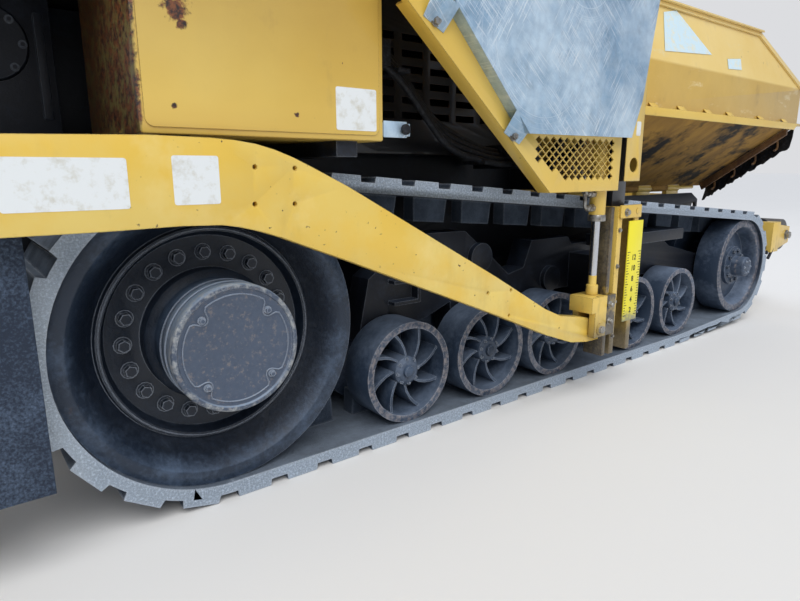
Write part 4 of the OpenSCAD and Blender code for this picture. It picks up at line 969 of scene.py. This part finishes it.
pipes.mirrored().finish("pressure_pipes", "rubber", hose, 0.001)


# Hydraulic tank: one welded box between the side plates under the deck, black with film. A second black block
# behind it is painted shade: it fills the space under the deck so that it reads dark. A round clean-out cover
# and a sight strip are on its right and left walls.
tank = Shape()
tank.block((-0.560, -0.255), (-0.690, 0.0), (1.020, 1.452))
# Painted shade: this inner black block fills the space under the deck.
tank.block((-0.256, 0.395), (-0.460, 0.0), (1.020, 1.452))
tank.turn([(0.105, 0), (0.105, 0.008), (0.098, 0.012), (0, 0.012)], (-0.420, -0.690, 1.290), (0, -1, 0), 36)
tank.block((-0.300, -0.275), (-0.700, -0.690), (1.09, 1.38))
tank.mirrored().finish("hydraulic_tank_and_shade_block", "black_paint", undercarriage, 0.008, steps=3)
fasten("tank_cover_bolts", undercarriage, ring((-0.420, -0.702, 1.290), 0.088, 8, 0.7))


# Operator's deck: chequered tread plate with toe boards; the stations, seats and rails are bolted on. Each
# console has a sloping panel with dials, levers and switches.
def chequers(coat):
    """Short raised lugs that lean one way and the other in turn, as rolled into floor plate."""
    turn = coat.node("ShaderNodeTexChecker", Vector=coat.stretched(1, 1, 0), Scale=30.0)["Fac"]
    wave = {"wave_type": "BANDS", "bands_direction": "DIAGONAL"}
    left, right = (coat.step(coat.node("ShaderNodeTexWave", wave, Vector=coat.stretched(1, way, 0), Scale=13.5,
                                       Phase_Offset=1.2)["Fac"], 0.80, 0.92) for way in (1, -1))
    return turn * left + (1 - turn) * right


def trodden_and_painted_shade_below(coat, body, cloudy, fine):
    """Boots have rubbed the lugs of the floor bare; the underside and the legs are made near-black as painted shade.
    """
    height, floor_z = coat.along("Z"), 1.4985
    rubbed = chequers(coat) * (height > floor_z) * (0.35 + cloudy * 0.5)
    body = coat.blend(rubbed, body, tone(168, 156, 132))
    # Painted shade: everything below the floor's top is made near-black.
    return coat.blend(height < floor_z, body, coat.blend(cloudy, tone(20, 20, 22), tone(50, 46, 40)))


tread = paint_coat("tread_plate_yellow", tone(196, 160, 76), tone(184, 154, 90), 0.85, 1.1, 0.50, over=trodden_and_painted_shade_below)
tread.feed("Coat Weight", tread.patches(3, 4, 0.55, 0.4, 0.8) * 0.15)
tread.relief(chequers(tread) + tread.noise(120, 3) * 0.15, 0.0015)
dress(tread, "operator_deck", width=0.002)
toe = Shape()
toe.block((-0.978, 0.30), (-1.199, -1.190), (1.501, 1.585))
toe.block((-0.974, -0.966), (-0.62, 0), (1.501, 1.585))
toe.mirrored().finish("toe_boards", "paint", yellow, 0.002)

glass = Coat("instrument_glass", Roughness=0.08, Specular_IOR_Level=0.6)
glass.feed("Base Color", glass.blend(glass.noise(4), tone(14, 16, 20), tone(26, 30, 36)))
plastic = Coat("moulded_plastic", Roughness=0.5)
handled = plastic.patches(12, 5, 0.55, 0.45, 0.8)
plastic.feed("Base Color", plastic.blend(handled, tone(24, 24, 26), tone(52, 51, 50)))
plastic.relief(plastic.noise(240, 3, 0.6), 0.0005)
dash_lean = (-0.44, 0, 0.90)


def on_dash(x, y):
    """A point on the sloping top of a console."""
    return (x, y, 2.194 + (x - 0.120) * 0.5)


dash = Shape()
dash.plate([(0.124, -0.985, 2.1925), (0.124, -0.415, 2.1925), (0.326, -0.415, 2.2935), (0.326, -0.985, 2.2935)],
           (-0.0018, 0, 0.0036))
dash.block((0.117, 0.120), (-0.97, -0.43), (2.156, 2.186))
dash.mirrored().finish("dash_panels", "seat", plastic, 0.001)
dials = Shape()
for y in (-0.86, -0.70, -0.54):
    dials.turn([(0.036, 0), (0.036, 0.006), (0.032, 0.008), (0, 0.008)], on_dash(0.275, y), dash_lean, 24)
dials.plate([on_dash(0.150, -0.91), on_dash(0.150, -0.76), on_dash(0.215, -0.76), on_dash(0.215, -0.91)],
            (-0.002, 0, 0.004))
dials.mirrored().finish("dash_dials", "lamp", glass, 0.0008)
levers = Shape()
for x, y in ((0.160, -0.62), (0.170, -0.50), (0.215, -0.47)):
    levers.turn([(0.030, 0), (0.026, 0.012), (0.016, 0.03), (0.006, 0.045), (0.006, 0.115), (0.015, 0.125),
                 (0.019, 0.150), (0.014, 0.172), (0, 0.178)], on_dash(x, y), (-0.3, 0, 0.95), 16)
for k in range(10):
    spot = on_dash(0.160 + 0.03 * (k % 2), -0.74 + 0.020 * (k // 2))
    levers.turn([(0.009, 0), (0.009, 0.01), (0.006, 0.014), (0, 0.014)], spot, dash_lean, 10)
levers.mirrored().finish("levers_and_switches", "seat", plastic, 0)


# Seats: moulded foam under stitched black vinyl on a steel pan, each on a sprung pedestal with a rubber
# bellows and two armrests. The cushions are inflated as cloth and then creased along their seams.
vinyl = Coat("seat_vinyl", Roughness=0.48, Sheen_Weight=0.15)
pores = vinyl.node("ShaderNodeTexVoronoi", Vector=vinyl.object, Scale=420.0)["Distance"]
sat_on = vinyl.patches(16, 5, 0.55, 0.4, 0.75)
vinyl.feed("Base Color", vinyl.blend(sat_on, tone(26, 26, 29), tone(58, 56, 55)))
vinyl.relief(pores + vinyl.noise(30, 4) * 0.6, 0.0009)


def swell(piece, frames=20):
    """Inflates a pad as cloth, and returns its mesh."""
    cloth = piece.modifiers.new("swell", "CLOTH")
    cloth.settings.use_pressure = True
    cloth.settings.uniform_pressure_force = 4
    cloth.settings.effector_weights.gravity = 0
    cloth.settings.quality = 4
    cloth.point_cache.frame_start = 1
    cloth.point_cache.frame_end = frames
    for moment in range(1, frames + 1):
        bpy.context.scene.frame_set(moment)
    swollen = settled(piece)
    piece.modifiers.clear()
    bpy.context.scene.frame_set(1)
    return swollen


def cushion(name, low, high, crown, lean=0.0):
    """An inflated pad between two corners, creased along two channels and round its edge seam."""
    low, high = Vector(low), Vector(high)
    size, middle = high - low, (low + high) / 2
    most_swell, channel_depth, seam_depth, waist = 0.014, 0.010, 0.004, 0.018
    block = bmesh.new()
    bmesh.ops.create_cube(block, size=1)
    bmesh.ops.subdivide_edges(block, edges=block.edges, cuts=5, use_grid_fill=True)
    for v in block.verts:
        v.co = Vector((v.co.x * size.x * 0.93, v.co.y * size.y * 0.93, v.co.z * size.z * 0.80))
    data = bpy.data.meshes.new(name)
    block.to_mesh(data)
    block.free()
    piece = put(name, data)
    round_off = piece.modifiers.new("round", "BEVEL")
    round_off.width = min(size) * 0.22
    round_off.segments = 3
    voxels = piece.modifiers.new("voxels", "REMESH")
    voxels.mode = "VOXEL"
    voxels.voxel_size = 0.0065
    piece.data = settled(piece)
    piece.modifiers.clear()
    rest = [v.co.copy() for v in piece.data.vertices]
    piece.data = swell(piece)
    pad = piece.data
    for v, before in zip(pad.vertices, rest):
        move = v.co - before
        if move.length > most_swell:
            v.co = before + move.normalized() * most_swell
        u, w = v.co.x / size.x * 2, v.co.y / size.y * 2
        top = min(1.0, max(0.0, v.co.z / size.z * 2) * 2)
        v.co.z += crown * (1 - min(1.0, u * u)) * (1 - min(1.0, w * w)) * top
        for channel in (-0.42, 0.42):
            crease = math.exp(-((w - channel) / 0.045) ** 2) * (1 - min(1.0, abs(u)) ** 6)
            v.co.z -= channel_depth * crease * top
        seam = seam_depth * math.exp(-((v.co.z - size.z * 0.16) / 0.004) ** 2)
        v.co.x -= seam * math.copysign(1, u) * (abs(u) > 0.88)
        v.co.y -= seam * math.copysign(1, w) * (abs(w) > 0.88)
        v.co.x *= 1 - waist * (1 - min(1.0, abs(w))) * (abs(u) > 0.85)
        v.co.y *= 1 - waist * (1 - min(1.0, abs(u))) * (abs(w) > 0.85)
    pad.transform(Matrix.Translation(middle - Vector((axle_back, 0, 0))) @ Matrix.Rotation(lean, 4, "Y"))
    pad.materials.clear()
    pad.materials.append(vinyl.material)
    for polygon in pad.polygons:
        polygon.use_smooth = True
    return piece


for form, low, high, crown, lean in (
    ("seat_cushion", (-0.672, -0.972, 1.802), (-0.224, -0.528, 1.908), 0.010, 0.0),
    ("seat_back", (-0.915, -0.965, 2.108), (-0.395, -0.535, 2.212), 0.008, math.radians(82)),
):
    pad = cushion(form + "_right", low, high, crown, lean)
    other = pad.data.copy()
    other.transform(Matrix.Scale(-1, 4, (0, 1, 0)))
    other.flip_normals()
    for piece in (pad, put(form + "_left", other)):
        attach(piece, "chassis")
stand = Shape()
bellows = [(0.075 + 0.014 * (k % 2), 0.09 + 0.014 * k) for k in range(13)]
stand.turn([(0.12, 0), (0.12, 0.012), (0.05, 0.02), (0.05, 0.09)] + bellows + [(0.05, 0.272), (0.05, 0.29)],
           (-0.45, -0.75, 1.500), up, 28)
stand.block((-0.65, -0.25), (-0.95, -0.55), (1.786, 1.800))
stand.plate([(x, -0.94, z) for x, z in ((-0.700, 1.79), (-0.676, 1.79), (-0.748, 2.38), (-0.772, 2.38))],
            (0, 0.38, 0))
rests = Shape()
for y in (-0.985, -0.535):
    stand.pipe([(-0.70, y, 1.86), (-0.70, y, 2.08), (-0.40, y, 2.08)], 0.05, 0.016)
    rests.plate([(x, y + wide, 2.094) for x, wide in (
        (-0.66, -0.030), (-0.66, 0.030), (-0.36, 0.026), (-0.345, 0), (-0.36, -0.026))], (0, 0, 0.034))
stand.mirrored().finish("seat_stands", "seat", plastic, 0.003, replaces=("seats",))
rests = rests.mirrored().finish("seat_armrests", "seat", vinyl, 0.010, steps=4)


# Canopy: a pressed steel roof on square posts, stiffened by bows underneath. The work lamps at its
# corners have a black case, a fluted lens and a moulded rim.
bows = Shape()
for x in (-0.82, -0.42, -0.02, 0.40):
    bows.block((x, x + 0.05), (-1.252, 0), (3.394, 3.433))
bows.mirrored().finish("canopy_bows", "paint", yellow, 0.002)
lens = Coat("lamp_lens", Roughness=0.12, Specular_IOR_Level=0.7)
flute = lens.node("ShaderNodeTexWave", {"bands_direction": "Y"}, Vector=lens.object, Scale=60.0)["Fac"]
lens.feed("Base Color", lens.blend(lens.step(flute, 0.3, 0.8), tone(214, 218, 222), tone(176, 184, 190)))
lens.relief(flute, 0.001)
dress(plastic, "work_lamps", width=0.008)
lenses, bezels = Shape(), Shape()
for x, way in ((0.670, 1), (-1.070, -1)):
    lenses.plate([(x, -1.132, 3.258), (x, -0.988, 3.258), (x, -0.988, 3.342), (x, -1.132, 3.342)],
                 (way * 0.004, 0, 0))
    rim = rounded((-1.136, -0.984), (3.254, 3.346), 0.012)
    bezels.tube([(x + way * 0.003, y, z) for y, z in rim], 0.005, 6, True)
lenses.mirrored().finish("lamp_lenses", "lamp", lens, 0.001)
bezels.mirrored().finish("lamp_bezels", "seat", plastic, 0)


# Exhaust: the pipe and the silencer are aluminised steel. Their heat guard is fourteen upright strips of
# sheet, held together by three hoops.
guard_steel = iron_coat("heat_guard", tone(58, 56, 54), tone(96, 84, 72), 0.4, 0.45, 0.3)
shell = Shape()
stack_x, stack_y, guard_r, half_strip = 1.300, 0.900, 0.094, 0.12
for t in circle(14):
    corners = ((-half_strip, 1.74), (half_strip, 1.74), (half_strip, 2.16), (-half_strip, 2.16))
    shell.plate([(stack_x + guard_r * math.cos(t + d), stack_y + guard_r * math.sin(t + d), z) for d, z in corners],
                (0.004 * math.cos(t), 0.004 * math.sin(t), 0))
for z in (1.735, 1.94, 2.145):
    shell.turn([(0.0905, 0), (0.100, 0), (0.100, 0.022), (0.0905, 0.022)], (stack_x, stack_y, z), up, 36)
shell.finish("exhaust_guard", "steel", guard_steel, 0.0008)


# Engine hood: folded sheet, yellow as the doors, with rows of pressed louvres on top. Two grab bars a side
# are bent from round bar and welded on.
louvres = Shape()
for x in (0.62, 0.94, 1.26):
    for y in (-0.62 + 0.085 * k for k in range(7)):
        louvres.plate([(x, y, 2.0405), (x + 0.24, y, 2.0405), (x + 0.228, y + 0.045, 2.0535),
                       (x + 0.012, y + 0.045, 2.0535)], (0, 0.012, -0.0125))
louvres.mirrored().finish("hood_louvres", "paint", yellow, 0.002, "hood")
grab = Shape()
for x in (0.56, 1.42):
    grab.pipe([(x, -0.68, 2.036), (x, -0.68, 2.085), (x + 0.16, -0.68, 2.085), (x + 0.16, -0.68, 2.036)], 0.02, 0.009)
grab.mirrored().finish("hood_grab_bars", "black_paint", undercarriage, 0, "hood")


# Screed: the heated box that lays the mat. Threaded spindles with cranks set its thickness, pipes and a
# control box lie on its top, and each extender has an end gate with a grab bar and a grated walkway.
gear = Shape()
gear.block((-1.62, -1.34), (-0.24, 0.0), (0.4205, 0.585))
gear.block((-1.60, -1.36), (-0.244, -0.240), (0.45, 0.56))
for x, z in ((-1.235, 0.440), (-1.275, 0.440), (-1.90, 0.436)):
    gear.tube([(x, -1.46, z), (x, 0.0, z)], 0.011)
for y in (-1.35, -0.95, -0.55, -0.15):
    gear.block((-1.295, -1.215), (y, y + 0.035), (0.4205, 0.4285))
gear.mirrored().finish("screed_top_gear", "black_paint", undercarriage, 0.003, "screed")
spindle = Shape()
spindle_y, crank = -1.29, 0.13
thread = [(0.014 - 0.0025 * (k % 2), 0.06 + 0.0055 * k) for k in range(70)]
for x in (-1.71, -1.27):
    spindle.turn([(0.026, 0.0), (0.026, 0.05), (0.014, 0.052)] + thread + [(0.010, 0.45), (0.010, 0.47)],
                 (x, spindle_y, 0.441), up, 14)
    spindle.pipe([(x, spindle_y, 0.905), (x, spindle_y, 0.925), (x - crank, spindle_y, 0.925),
                  (x - crank, spindle_y, 1.02)], 0.015, 0.0075, 8)
    spindle.turn([(0.0135, 0), (0.016, 0.01), (0.016, 0.085), (0.012, 0.095), (0, 0.096)],
                 (x - crank, spindle_y, 0.945), up, 14)
spindle.mirrored().finish("thickness_spindles", "steel", bright, 0, "screed")
for side, name in sides:
    gate, grate, bars = Shape(), Shape(), Shape()
    gate.pipe([(x, -1.542, z) for x, z in ((-2.05, 0.37), (-2.05, 0.47), (-1.55, 0.47), (-1.55, 0.37))], 0.04, 0.012)
    for y in (-1.51 + 0.067 * k for k in range(22)):
        grate.block((-2.783, -2.457), (y, y + 0.012), (0.3905, 0.3985))
    for x in (-2.775 + 0.098 * k for k in range(4)):
        bars.block((x, x + 0.006), (-1.51, -0.05), (0.3905, 0.3955))
    bars.pipe([(-2.46, -1.40, 0.33), (-2.50, -1.40, 0.20), (-2.50, -0.20, 0.20), (-2.46, -0.20, 0.33)], 0.05, 0.010, 8)
    body = f"extender_{name}"
    gate.on_side(side).finish(f"end_gate_trim_{name}", "paint", yellow, 0.0015, body)
    grate.on_side(side).finish(f"walkway_grate_{name}", "steel", steel, 0.0008, body)
    bars.on_side(side).finish(f"walkway_bars_{name}", "black_paint", undercarriage, 0.0008, body)


# Push beam: a welded box beam whose bolted cheeks carry the rollers' axles. Four rubber hoses a side run
# along behind it and turn down at its end.
sites = [((4.030, -1.151, 0.505), (0, -1, 0), 2.0)]
sites += [((3.9205, y, z), (1, 0, 0), 1.0) for y in (-0.95, -0.80, -0.35, -0.20) for z in (0.44, 0.56)]
fasten("push_beam_bolts", bright, sites, body="push_beam")
lines = Shape()
for k in range(4):
    x, corner_y, foot = 3.83 + 0.012 * k, -1.10 - 0.014 * k, -0.03 * k
    lines.pipe([(3.83, -0.30 - 0.028 * k, 0.612), (x, -1.02 - 0.02 * k, 0.612), (x, corner_y, 0.53 + foot),
                (3.795, corner_y, 0.45 + foot)], 0.05, 0.010, 8)
lines.mirrored().finish("push_beam_hoses", "rubber", hose, 0, "push_beam")
